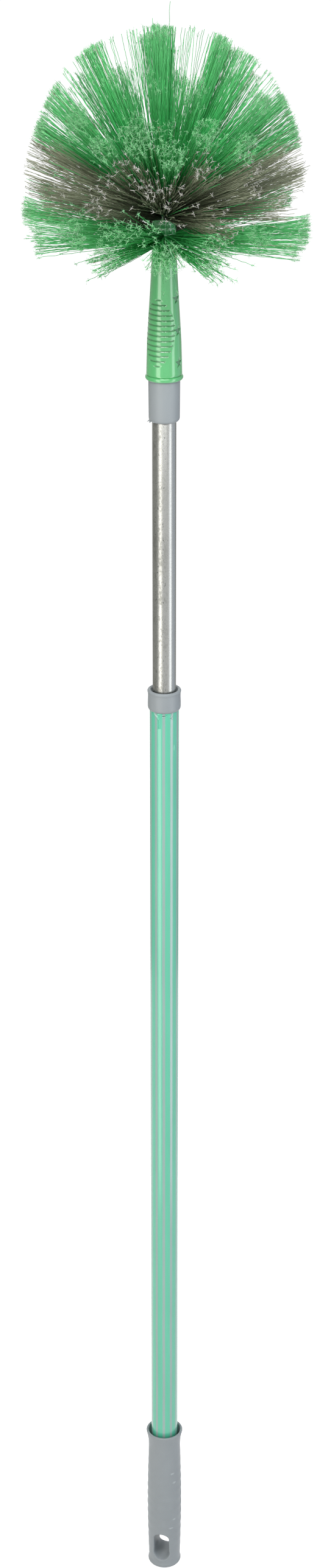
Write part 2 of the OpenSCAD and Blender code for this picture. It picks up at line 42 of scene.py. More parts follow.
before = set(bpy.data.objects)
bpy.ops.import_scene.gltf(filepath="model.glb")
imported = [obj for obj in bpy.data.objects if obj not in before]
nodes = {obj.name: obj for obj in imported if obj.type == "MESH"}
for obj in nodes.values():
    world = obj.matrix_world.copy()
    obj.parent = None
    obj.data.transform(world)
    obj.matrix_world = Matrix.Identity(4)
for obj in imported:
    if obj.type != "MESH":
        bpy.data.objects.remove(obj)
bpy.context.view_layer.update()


# Camera

AIM = Vector((0.0009, 0, 0.739))
CAMERA_DISTANCE = 2.092
CAMERA_TILT = math.radians(24)
LENS_MM = 62.99


def placed(name, data):
    """A new object of some data, put in the scene."""
    made = bpy.data.objects.new(name, data)
    bpy.context.scene.collection.objects.link(made)
    return made


def place_camera():
    """The photograph's view: from in front and 24 degrees above the level."""
    data = bpy.data.cameras.new("camera")
    data.sensor_width = 36
    data.lens = LENS_MM
    data.clip_end = 100
    camera = placed("camera", data)
    back = Vector((0, -math.cos(CAMERA_TILT), math.sin(CAMERA_TILT)))
    camera.location = AIM + back * CAMERA_DISTANCE
    camera.rotation_euler = (-back).to_track_quat("-Z", "Y").to_euler()
    bpy.context.scene.camera = camera


place_camera()
bpy.context.scene.view_settings.view_transform = "Standard"


# Materials


def colour(hexed):
    """An sRGB hex value as linear RGBA."""
    parts = [int(hexed[i : i + 2], 16) / 255 for i in (1, 3, 5)]
    return [c / 12.92 if c <= 0.04045 else ((c + 0.055) / 1.055) ** 2.4 for c in parts] + [1]


def plug(tree, node, inputs):
    """Gives sockets of a node a plain value, a hex colour, or the output that they are linked from."""
    for name, value in inputs.items():
        if isinstance(value, bpy.types.NodeSocket):
            tree.links.new(value, node.inputs[name])
        else:
            node.inputs[name].default_value = colour(value) if isinstance(value, str) else value


def add(tree, kind, inputs, out=0, stops=(), **settings):
    """Adds a shader node with its settings and links, and gives one of its outputs. stops are for a ramp."""
    node = tree.nodes.new("ShaderNode" + kind)
    for name, value in settings.items():
        setattr(node, name, value)
    plug(tree, node, inputs)
    for i, (place, shade) in enumerate(stops):
        element = node.color_ramp.elements[i] if i < 2 else node.color_ramp.elements.new(place)
        element.position = place
        element.color = colour(shade)
    return node.outputs[out]


def material(name):
    """A new material, its node tree and its surface shader."""
    made = bpy.data.materials.new(name)
    made.use_nodes = True
    return made, made.node_tree, made.node_tree.nodes["Principled BSDF"]


def grain(tree, place, cells, detail=2.0, rough=0.5):
    """Noise with cells of these sizes in millimetres along X, Y and Z, as an output from 0 to 1."""
    scaled = add(tree, "Mapping", {"Vector": place, "Scale": [1 / (c * MM) for c in cells]})
    return add(tree, "TexNoise", {"Vector": scaled, "Scale": 1.0, "Detail": detail, "Roughness": rough})


# Settings of nodes that are used often. A mix takes its share at 0 and its colours at 6 and 7. A range takes
# its value at 0, the range that it comes from at 1 and 2, and the range that it goes to at 3 and 4.
OF_COLOURS = {"data_type": "RGBA"}
SOFTLY = {"interpolation_type": "SMOOTHSTEP"}


def around(tree):
    """A place on the object, its angle about the pole in turns from +X, and its height in metres."""
    place = add(tree, "TexCoord", {}, "Object")
    x, y, z = (add(tree, "SeparateXYZ", {"Vector": place}, axis) for axis in "XYZ")
    angle = add(tree, "Math", {0: y, 1: x}, operation="ARCTAN2")
    return place, add(tree, "Math", {0: angle, 1: 1 / TAU}, operation="MULTIPLY"), z


def off_middle(tree, turns):
    """How far turns are from the middle of the one that they are in, from 0 to a half."""
    part = add(tree, "Math", {0: turns}, operation="FRACT")
    off = add(tree, "Math", {0: part, 1: 0.5}, operation="SUBTRACT")
    return add(tree, "Math", {0: off}, operation="ABSOLUTE")


STRIPES = 11
STRIPE_MM = 2.1
STRIPE_PHASE_DEG = -92.5
FILM_R = 11
# How far the print wanders round the tube, in turns, and how soft the lines' edges are
WANDER = 0.012
LINE_BLUR = 0.3


def striped_film():
    """PVC film, printed with grey lines and shrunk on the tube: an even gloss with faint creases along it."""
    made, tree, shader = material("printed_pvc_film")
    place, turn, _ = around(tree)
    # The print wanders by a fraction of a millimetre along the tube
    wander = grain(tree, place, (400, 400, 70), 1.0)
    turn = add(tree, "Math", {0: wander, 1: WANDER, 2: turn}, operation="MULTIPLY_ADD")
    start = 0.5 - STRIPES * STRIPE_PHASE_DEG / 360 - WANDER / 2 * STRIPES
    across = add(tree, "Math", {0: turn, 1: float(STRIPES), 2: start}, operation="MULTIPLY_ADD")
    half = STRIPE_MM / 2 * STRIPES / (TAU * FILM_R)
    inner, outer = half * (1 - LINE_BLUR), half * (1 + LINE_BLUR)
    off = off_middle(tree, across)
    stripe = add(tree, "MapRange", {0: off, 1: inner, 2: outer, 3: 1.0, 4: 0.0}, **SOFTLY)
    cloud = grain(tree, place, (8, 8, 70), 3.0)
    mint = add(tree, "Mix", {0: cloud, 6: "#52ba99", 7: "#5fcaa9"}, 2, **OF_COLOURS)
    line = add(tree, "Mix", {0: cloud, 6: "#86a7a1", 7: "#9bb7b1"}, 2, **OF_COLOURS)
    creases = grain(tree, place, (3, 3, 45))
    looks = {
        "Base Color": add(tree, "Mix", {0: stripe, 6: mint, 7: line}, 2, **OF_COLOURS),
        "Roughness": 0.2,
        "IOR": 1.53,
        "Specular IOR Level": 0.7,
        "Coat Weight": 0.25,
        "Coat Roughness": 0.1,
        "Normal": add(tree, "Bump", {"Height": creases, "Distance": 0.05 * MM}),
    }
    plug(tree, shader, looks)
    return made


# The dull side of the plating, as an angle about the pole
DULL_SIDE_DEG = -118


def drawn_steel():
    """Thin steel tube, drawn and lightly plated.

    It gives a bright metal with hair lines round it and crumbly mottles on one side.
    """
    made, tree, shader = material("plated_steel_tube")
    place, turn, _ = around(tree)
    mottle = grain(tree, place, (1.7, 1.7, 3.4), 6.0, 0.68)
    patch = grain(tree, place, (9, 9, 26))
    lines = grain(tree, place, (30, 30, 0.5), 2.0, 0.6)
    # Mottles gather on the dull side and thin out round the pole
    turn = add(tree, "Math", {0: turn, 1: -DULL_SIDE_DEG / 360 + 0.5}, operation="ADD")
    dull = add(tree, "MapRange", {0: off_middle(tree, turn), 1: 0.06, 2: 0.17, 3: 1.0, 4: 0.12}, **SOFTLY)
    level = add(tree, "Math", {0: patch, 1: 0.55, 2: mottle}, operation="MULTIPLY_ADD")
    crumbs = add(tree, "MapRange", {0: level, 1: 0.74, 2: 0.92, 3: 0.0, 4: 1.0}, **SOFTLY)
    crumbs = add(tree, "Math", {0: crumbs, 1: dull}, operation="MULTIPLY")
    specks = add(tree, "MapRange", {0: mottle, 1: 0.33, 2: 0.41, 3: 1.0, 4: 0.0}, **SOFTLY)
    specks = add(tree, "Math", {0: specks, 1: dull}, operation="MULTIPLY")
    bright = add(tree, "Mix", {0: lines, 6: "#a0a19e", 7: "#acadaa"}, 2, **OF_COLOURS)
    tone = add(tree, "Mix", {0: crumbs, 6: bright, 7: "#898a86"}, 2, **OF_COLOURS)
    tone = add(tree, "Mix", {0: specks, 6: tone, 7: "#5f605c"}, 2, **OF_COLOURS)
    rough = add(tree, "Math", {0: crumbs, 1: 0.12, 2: 0.27}, operation="MULTIPLY_ADD")
    relief = add(tree, "Math", {0: mottle, 1: dull}, operation="MULTIPLY")
    relief = add(tree, "Math", {0: lines, 1: 0.07, 2: relief}, operation="MULTIPLY_ADD")
    looks = {
        "Base Color": tone,
        "Metallic": 1.0,
        "Roughness": rough,
        "Normal": add(tree, "Bump", {"Height": relief, "Distance": 0.055 * MM}),
    }
    plug(tree, shader, looks)
    return made


# Places on the grip that are rubbed pale: angle about the pole, height and half sizes in millimetres
SCUFFS = [(-61, 100, 2.6, 1.3), (-54, 90.5, 2.2, 1.4), (-54, 51.6, 2.4, 1.3), (-66, 43, 3.0, 1.2)]
GRIP_R = 14


def satin_plastic():
    """Polypropylene, moulded in a finely blasted tool.

    It gives a satin grey with faint clouds, rubbed pale where it is held.
    """
    made, tree, shader = material("satin_polypropylene")
    place, turn, height = around(tree)
    cloud = grain(tree, place, (14, 14, 22), 4.0, 0.6)
    tone = add(tree, "Mix", {0: cloud, 6: "#8e9599", 7: "#9aa1a5"}, 2, **OF_COLOURS)
    scratches = grain(tree, place, (1.4, 1.4, 0.8), 4.0, 0.7)
    for angle, z, half_width, half_height in SCUFFS:
        x = add(tree, "Math", {0: turn, 1: -angle / 360}, operation="ADD")
        x = add(tree, "Math", {0: x, 1: TAU * GRIP_R / half_width}, operation="MULTIPLY")
        y = add(tree, "Math", {0: height, 1: -z * MM}, operation="ADD")
        y = add(tree, "Math", {0: y, 1: 1 / (half_height * MM)}, operation="MULTIPLY")
        away = add(tree, "CombineXYZ", {"X": x, "Y": y})
        away = add(tree, "VectorMath", {0: away}, "Value", operation="LENGTH")
        rubbed = add(tree, "Math", {0: scratches, 1: 1.4, 2: 0.3}, operation="MULTIPLY_ADD")
        rubbed = add(tree, "Math", {0: rubbed, 1: away}, operation="SUBTRACT")
        rubbed = add(tree, "MapRange", {0: rubbed, 1: 0.0, 2: 0.7, 3: 0.0, 4: 0.55}, **SOFTLY)
        tone = add(tree, "Mix", {0: rubbed, 6: tone, 7: "#bcc4c8"}, 2, **OF_COLOURS)
    # The blasted grain is drawn ten times its real size, so that it shows at all
    blasted = grain(tree, place, (0.5, 0.5, 0.5))
    looks = {
        "Base Color": tone,
        "Roughness": 0.45,
        "IOR": 1.49,
        "Normal": add(tree, "Bump", {"Height": blasted, "Distance": 0.02 * MM}),
    }
    plug(tree, shader, looks)
    return made


RECESS = "recess"


def glossy_socket():
    """Polypropylene, moulded in a polished tool.

    It gives a glossy green with slight flow clouds and shallow sink waves, and painted shade that darkens its
    grooves and stars.
    """
    made, tree, shader = material("glossy_polypropylene")
    place = add(tree, "TexCoord", {}, "Object")
    cloud = grain(tree, place, (12, 12, 30), 3.0, 0.55)
    waves = grain(tree, place, (6, 6, 14), 1.0)
    tone = add(tree, "Mix", {0: cloud, 6: "#48ae63", 7: "#58bc74"}, 2, **OF_COLOURS)
    # Painted shade: the grooves and the stars are darkened by their depth, in place of the shade that falls
    # in them
    recess = add(tree, "Attribute", {}, "Fac", attribute_name=RECESS)
    painted_shade = add(tree, "MapRange", {0: recess, 1: 0.05, 2: 0.45, 3: 0.0, 4: 0.75}, **SOFTLY)
    tone = add(tree, "Mix", {0: painted_shade, 6: tone, 7: "#1a6a32"}, 2, **OF_COLOURS)
    looks = {
        "Base Color": tone,
        "Roughness": 0.2,
        "IOR": 1.5,
        "Specular IOR Level": 0.8,
        "Coat Weight": 0.6,
        "Coat IOR": 1.6,
        "Coat Roughness": 0.1,
        "Normal": add(tree, "Bump", {"Height": waves, "Distance": 0.04 * MM}),
    }
    plug(tree, shader, looks)
    return made


def acetal():
    """Acetal, moulded: milky white and a little waxy."""
    made, tree, shader = material("moulded_acetal")
    place = add(tree, "TexCoord", {}, "Object")
    cloud = grain(tree, place, (6, 6, 6), 3.0)
    waxy = grain(tree, place, (1.5, 1.5, 1.5))
    looks = {
        "Base Color": add(tree, "Mix", {0: cloud, 6: "#d2d0c6", 7: "#dfddd4"}, 2, **OF_COLOURS),
        "Roughness": 0.35,
        "IOR": 1.48,
        "Normal": add(tree, "Bump", {"Height": waxy, "Distance": 0.02 * MM}),
    }
    plug(tree, shader, looks)
    return made


def zinc():
    """Steel wire and sheet, zinc plated: grey metal with a faint bluish bloom."""
    made, tree, shader = material("zinc_plated_steel")
    place = add(tree, "TexCoord", {}, "Object")
    bloom = grain(tree, place, (1.6, 1.6, 1.6), 4.0)
    looks = {
        "Base Color": add(tree, "Mix", {0: bloom, 6: "#9fa3a6", 7: "#bfc2c0"}, 2, **OF_COLOURS),
        "Metallic": 1.0,
        "Roughness": add(tree, "MapRange", {0: bloom, 1: 0.0, 2: 1.0, 3: 0.25, 4: 0.45}, **SOFTLY),
    }
    plug(tree, shader, looks)
    return made


# The map that the strands are coloured through, and where strands and their hairs lie along it
STRAND_MAP = "OFBake"
STRAND_SPAN, HAIR_SPAN = (0.02, 0.86), (0.92, 0.99)
ODD_ROW = 0.01


def bristle_fibre(name, root, middle, tip, split, odd):
    """Extruded PVC fibre, crimped, cut and split at its end.

    It gives a colour along the strand that is painted darker at the root as shade and lighter towards the end
    as light, and a pale one where the end is split.
    """
    made, tree, shader = material(name)
    where = add(tree, "UVMap", {}, uv_map=STRAND_MAP)
    along = add(tree, "SeparateXYZ", {"Vector": where}, "X")
    row = add(tree, "SeparateXYZ", {"Vector": where}, "Y")
    # Painted shade and light: each strand darkens towards the hub, where the tufts crowd, and lightens
    # towards its end; the split end is paler still, partly as split fibre whitens and partly as painted light
    stops = [(0.0, root), (0.4, middle), (0.86, tip), (0.93, split)]
    tone = add(tree, "ValToRGB", {"Fac": along}, stops=stops)
    # Batches differ a little from tuft to tuft, and single strands more
    for cells, spread in ((14.0, 0.14), (170.0, 0.32)):
        place = add(tree, "Math", {0: row, 1: cells}, operation="MULTIPLY")
        noise = add(tree, "TexNoise", {"W": place, "Scale": 1.0, "Detail": 0.0}, noise_dimensions="1D")
        shade = add(tree, "MapRange", {0: noise, 1: 0.25, 2: 0.75, 3: 1 - spread, 4: 1.0}, **SOFTLY)
        shade = add(tree, "CombineColor", {0: shade, 1: shade, 2: shade})
        tone = add(tree, "Mix", {0: 1.0, 6: tone, 7: shade}, 2, **OF_COLOURS, blend_type="MULTIPLY")
    # The lowest rows are strands of the other colour
    stray = add(tree, "Math", {0: row, 1: ODD_ROW}, operation="LESS_THAN")
    tone = add(tree, "Mix", {0: stray, 6: tone, 7: odd}, 2, **OF_COLOURS)
    plug(tree, shader, {"Base Color": tone, "Roughness": 0.5, "IOR": 1.53, "Specular IOR Level": 0.3})
    return made


film = striped_film()
steel = drawn_steel()
grey_plastic = satin_plastic()
green_plastic = glossy_socket()
lock_plastic = acetal()
zinc_steel = zinc()
green_fibre = bristle_fibre("green_pvc_fibre", "#2fc158", "#50e07a", "#82ec9a", "#b6fac0", "#a9a68f")
grey_fibre = bristle_fibre("grey_pvc_fibre", "#43453a", "#90937a", "#b0b49a", "#f0eee8", "#55d87c")

for node, finish in {
    "outer_tube": steel,
    "expander": lock_plastic,
    "cone_nut": lock_plastic,
    "spindle_plug": lock_plastic,
    "retaining_clip": zinc_steel,
    "stop_washer": zinc_steel,
    "stop_screw": zinc_steel,
    "tuft_anchors": zinc_steel,
}.items():
    nodes[node].data.materials.clear()
    nodes[node].data.materials.append(finish)


# Pieces, in millimetres


def piece(name, points, faces, finish, body, slot, uv=None, weld=False):
    """A smooth mesh from points in millimetres and an array of faces, riding on a body."""
    mesh = bpy.data.meshes.new(name)
    mesh.vertices.add(len(points))
    mesh.vertices.foreach_set("co", (np.asarray(points) * MM).astype(np.float32).ravel())
    mesh.loops.add(faces.size)
    mesh.loops.foreach_set("vertex_index", faces.astype(np.int32).ravel())
    mesh.polygons.add(len(faces))
    mesh.polygons.foreach_set("loop_start", np.arange(len(faces), dtype=np.int32) * faces.shape[1])
    mesh.update(calc_edges=True)
    mesh.validate()
    if weld:
        solid = bmesh.new()
        solid.from_mesh(mesh)
        bmesh.ops.remove_doubles(solid, verts=solid.verts, dist=0.002 * MM)
        bmesh.ops.recalc_face_normals(solid, faces=solid.faces)
        solid.to_mesh(mesh)
        solid.free()
    mesh.shade_smooth()
    if uv is not None:
        layer = mesh.uv_layers.new(name=STRAND_MAP, do_init=False)
        layer.uv.foreach_set("vector", uv.astype(np.float32).ravel())
    mesh.materials.append(finish)
    made = placed(name, mesh)
    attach(made, body)
    return made


def smooth(t):
    """0 below 0, 1 above 1 and a soft step between."""
    t = np.clip(t, 0, 1)
    return t * t * (3 - 2 * t)


def arc(r, z, radius, start, end, steps=8):
    """Outline points of a round edge about a centre, between two angles in degrees."""
    a = np.radians(np.linspace(start, end, steps + 1))
    return [(r + radius * math.cos(t), z + radius * math.sin(t)) for t in a]


def turned(outline, sides, relief=None, start=0.0):
    """Points and faces of an outline of (radius, height) turned about the pole.

    relief gives each point's rise from its angle, radius and height.
    """
    a = start + np.arange(sides) * TAU / sides
    r, z = (np.array(column, float)[:, None] for column in zip(*outline))
    if relief is not None:
        r = r + relief(a[None, :], r, z)
    r = np.broadcast_to(r, (len(z), sides))
    points = np.stack([r * np.cos(a), r * np.sin(a), np.broadcast_to(z, r.shape)], -1).reshape(-1, 3)
    i, j = np.meshgrid(np.arange(len(z) - 1), np.arange(sides), indexing="ij")
    k = (j + 1) % sides
    faces = np.stack([i * sides + j, i * sides + k, (i + 1) * sides + k, (i + 1) * sides + j], -1)
    return points, faces.reshape(-1, 4)


def lathe(name, outline, finish, body, slot, sides, relief=None):
    """A turned piece, its outline closed. Its sides are as many as its gloss and relief need."""
    points, faces = turned(outline + outline[:1], sides, relief)
    return piece(name, points, faces, finish, body, slot, weld=True)


def z_ends(node):
    """The lowest and highest z of a CAD node, to a tenth of a millimetre."""
    return [round(corner[2] / MM, 1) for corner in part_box(node)]


# Heights that the pieces share. The socket stands on the shoulder at the foot of the tip's nose.
TUBE_Z, TUBE_TOP = z_ends("outer_tube")
POLE_Z, POLE_TOP = z_ends("inner_tube")
TIP_Z, NOSE_TOP = z_ends("pole_tip")
TIP_TOP = z_ends("brush_block")[0]
STEEL_R = 10.8
POLE_R, POLE_BORE_R = 8.75, 8.15
EDGE = 0.12
# Turned pieces that are closed on the axis keep a hole of this radius
PIN_R = 0.01


def steel_pole():
    """The inner tube, its ends deburred."""
    outline = [
        (POLE_BORE_R, POLE_Z + EDGE),
        (POLE_BORE_R + EDGE, POLE_Z),
        (POLE_R - EDGE, POLE_Z),
        (POLE_R, POLE_Z + EDGE),
        (POLE_R, POLE_TOP - EDGE),
        (POLE_R - EDGE, POLE_TOP),
        (POLE_BORE_R + EDGE, POLE_TOP),
        (POLE_BORE_R, POLE_TOP - EDGE),
    ]
    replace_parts(lathe("steel_pole", outline, steel, "pole", "bright_steel", 160), "inner_tube")


COLLAR_Z, COLLAR_R = TUBE_TOP - 14, 12.4
BUSH_Z = z_ends("collar")[0]
# The rounding of its lower edge: inwards and up
COLLAR_ROUND = (1.24, 2.6)
# The film's top, crumpled where the collar was pushed over it. Each fold runs between two places, given as
# the way round the tube from the front and the height, with its rise and half width
FOLDS = [
    ((-3.9, 789.5), (-3.8, 796.0), 0.34, 0.55),
    ((-3.8, 796.0), (-2.9, 801.5), 0.42, 0.6),
    ((-3.8, 796.0), (-9.4, 801.5), 0.38, 0.55),
    ((-6.3, 800.2), (-2.6, 800.8), 0.3, 0.5),
    ((3.9, 798.2), (5.4, 801.5), 0.3, 0.55),
    ((6.6, 797.0), (7.0, 801.5), 0.26, 0.5),
    ((8.4, 770.8), (8.7, 774.6), 0.18, 0.4),
]
# Slits: way round, height, half width, half height and slope
TEARS = [(0.3, 799.3, 2.1, 0.42, 0.13), (5.6, 797.3, 0.9, 0.3, 0.35)]
SLIT_LIP, LIP_RISE, SLIT_DEPTH = 0.35, 0.3, 0.4


def film_relief(angle, r, z):
    """Folds under the collar, and slits that let the steel show."""
    rise = np.zeros(np.broadcast_shapes(angle.shape, z.shape))
    way = ((angle + math.pi / 2 + math.pi) % TAU - math.pi) * FILM_R
    for (x1, z1), (x2, z2), height, width in FOLDS:
        along = ((way - x1) * (x2 - x1) + (z - z1) * (z2 - z1)) / ((x2 - x1) ** 2 + (z2 - z1) ** 2)
        share = np.clip(along, 0, 1)
        away = np.hypot(way - x1 - share * (x2 - x1), z - z1 - share * (z2 - z1))
        rise = np.maximum(rise, height * np.exp(-((away / width) ** 2)))
    for x, middle, half_width, half_height, slope in TEARS:
        off = way - x
        above = z - middle - slope * off
        inside = 1 - (off / half_width) ** 2 - (above / half_height) ** 2
        lip = np.exp(-(((above + half_height * 1.3) / SLIT_LIP) ** 2))
        lip = lip * smooth(1.2 - np.abs(off) / half_width)
        rise = np.where(inside > 0, -SLIT_DEPTH, rise + LIP_RISE * lip)
    return np.where(r > STEEL_R, rise, 0)


def film_wrap():
    """The printed film, shrunk round the outer tube."""
    # Rows lie closer where the film is folded
    plain, folded = np.linspace(TUBE_Z, 766, 24), (*np.arange(767, 778, 0.5), *np.arange(778, 802, 0.24))
    heights = (*plain, *folded, 808, TUBE_TOP)
    outside = [(FILM_R, z) for z in heights]
    outline = [(STEEL_R, TUBE_Z)] + outside + [(STEEL_R, TUBE_TOP)]
    made = lathe("film_wrap", outline, film, "handle", "striped_film", 216, film_relief)
    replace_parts(made, "tube_film")


def collar_cap():
    """The collar: a cap over the end of the outer tube, with a flared mouth and a guide bush."""
    guide_r, bush_r, skirt_r = 8.81, 10.17, 11.03
    side = [(12.3, 813.7), (12.25, 812.7), (12.26, 811.4), (12.34, 809.4)]
    side += [(COLLAR_R, 807.2), (COLLAR_R, 804.4)]
    inwards, up = COLLAR_ROUND
    lower = [
        (COLLAR_R - inwards * (1 - math.cos(a)), COLLAR_Z + up * (1 - math.sin(a)))
        for a in np.radians(range(0, 91, 10))
    ]
    outline = (
        [(guide_r, 814.0), (9.2, 814.7), (9.65, 815.5)]
        + arc(11.3, 816.1, 1.4, 172, -36, 16)
        + side
        + lower
        + [(skirt_r, COLLAR_Z), (skirt_r, TUBE_TOP), (bush_r, TUBE_TOP), (bush_r, BUSH_Z), (guide_r, BUSH_Z)]
    )
    made = lathe("collar_cap", outline, grey_plastic, "handle", "grey_plastic", 128)
    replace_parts(made, "collar")


THREAD_PITCH = 4.2
THREAD_DEPTH = 0.95
THREAD_RUNOUT = 3
NOSE_R, NOSE_BEVEL, NOSE_WALL = 9.5, 1.44, 2.4
# The bevel at the tip's lower edge, inwards and up, and the rounding at its top
TIP_BEVEL, TIP_ROUND = (2.1, 2.8), 0.4


def thread_relief(angle, r, z):
    """A rounded screw thread on the nose, run out at both ends."""
    wave = 0.5 - 0.5 * np.cos(angle - TAU * z / THREAD_PITCH)
    ends = smooth((z - TIP_TOP - 2) / THREAD_RUNOUT) * smooth((NOSE_TOP - 1.5 - z) / THREAD_RUNOUT)
    on_nose = (r > NOSE_R - 0.01) & (z > TIP_TOP + 0.5)
    return np.where(on_nose, -THREAD_DEPTH * wave**1.4 * ends, 0)


def tip_and_nose():
    """The pole's tip: a sleeve with a rounded lower edge, and the threaded nose that the head screws on."""
    sleeve_r, tip_r, draft = 8.78, 11.25, 0.2
    inwards, up = TIP_BEVEL
    bevel = [
        (tip_r - inwards * (1 - math.sin(a)), TIP_Z + up * (1 - math.cos(a)))
        for a in np.radians(range(8, 90, 9))
    ]
    nose = [(NOSE_R, z) for z in np.arange(TIP_TOP + 0.6, NOSE_TOP - 1.4, 0.3)]
    outline = (
        [(sleeve_r, TIP_Z + 0.2), (sleeve_r + 0.25, TIP_Z)]
        + bevel
        + arc(tip_r + draft - TIP_ROUND, TIP_TOP - TIP_ROUND, TIP_ROUND, 0, 90, 5)
        + [(NOSE_R + 0.3, TIP_TOP), (NOSE_R, TIP_TOP + 0.3)]
        + nose
        + [(NOSE_R, NOSE_TOP - NOSE_BEVEL), (NOSE_R - NOSE_BEVEL, NOSE_TOP), (PIN_R, NOSE_TOP)]
        + [(PIN_R, NOSE_TOP - NOSE_WALL), (NOSE_R - NOSE_WALL, NOSE_TOP - NOSE_WALL)]
        + [(NOSE_R - NOSE_WALL, POLE_TOP), (sleeve_r, POLE_TOP)]
    )
    made = lathe("tip_and_nose", outline, grey_plastic, "pole", "grey_plastic", 128, thread_relief)
    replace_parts(made, "pole_tip")


# Curls of flash: start round the pole in degrees, length, fall and how far they stand out. With the pole
# pushed in they end above the collar's mouth.
CURLS = [(-176, 3.0, 1.2, 1.7), (-163, 3.4, 1.25, 1.4), (-141, 2.2, 0.9, 0.4)]
FLASH_R, FLASH_RISE, FLASH_T = 10.5, 1.3, 0.12


def tip_flash():
    """Torn mould flash that hangs at the tip's lower edge, on the left."""
    rng = np.random.default_rng(7)
    points, faces = [], []
    steps = 8
    for start, long_mm, fall, stand in CURLS:
        base = len(points)
        for i in range(steps + 1):
            t = i / steps
            a = math.radians(start) + long_mm * t / 11
            swell = math.sin(math.pi * t) * (0.8 + 0.4 * rng.random())
            middle, end = (0.5 * stand * swell, fall * swell * 0.5), (stand * swell, fall * swell)
            for out, down in ((-0.3, 0.0), middle, end):
                r = FLASH_R + out + 0.15 * rng.random()
                points.append((r * math.cos(a), r * math.sin(a), TIP_Z + FLASH_RISE - down))
        for i in range(steps):
            for k in range(2):
                p = base + 3 * i + k
                faces.append((p, p + 1, p + 4, p + 3))
    made = piece("tip_flash", points, np.array(faces), grey_plastic, "pole", "grey_plastic")
    thick = made.modifiers.new("film", "SOLIDIFY")
    thick.thickness = FLASH_T * MM


GRIP_LEN, SEAT_R = z_ends("grip")[1], 11.03
BUTT_R, BUTT_ROUND, WAIST_Z = 14, 2.8, 7.28
NECK_R, BELLY_R, NECK_Z = 13.3, 14.5, 121.7
LIP_R, LIP_ROUND = 15.25, 1.075
WAVE_PITCH, WAVE_DEPTH = 9, 0.3
FLARE_POWER = 2.2
SLOT_W, SLOT_H, SLOT_Z, SLOT_TURN = 13, 27, 22.5, -13
SLOT_ROUND = 1.3
# The rim's rounding runs this many times deeper at the slot's lower end
SLOT_SCOOP = 3.2
GRIP_SIDES = 112
# The heights between which the slot is cut
GRIP_PATCH = (6.3, 46.3)
# Near enough to the axis that the points there are welded into one
ON_AXIS = 0.0005


def grip_radius(z):
    """The long belly with low finger rings, and the flare under the lip."""
    body = np.sin(np.pi * np.clip((z - WAIST_Z) / (NECK_Z - WAIST_Z), 0, 1))
    rings = WAVE_DEPTH / 2 * (1 - np.cos(TAU * z / WAVE_PITCH))
    flare = np.clip((z - NECK_Z) / (GRIP_LEN - LIP_ROUND - NECK_Z), 0, 1) ** FLARE_POWER
    return NECK_R + (BELLY_R - NECK_R - rings) * body + (LIP_R - NECK_R) * flare


def slot_outline(off, count=72):
    """The slot's outline moved outwards, as (across, height)."""
    r = SLOT_W / 2 + off
    straight = SLOT_H - SLOT_W
    length = math.pi * r + straight
    found = []
    for s in np.arange(count) / count * 2 * length:
        half, s = divmod(s, length)
        if s < straight:
            x, z = r, s - straight / 2
        else:
            x, z = r * math.cos((s - straight) / r), straight / 2 + r * math.sin((s - straight) / r)
        found.append((x, z) if half == 0 else (-x, -z))
    return np.array(found) + (0, SLOT_Z)


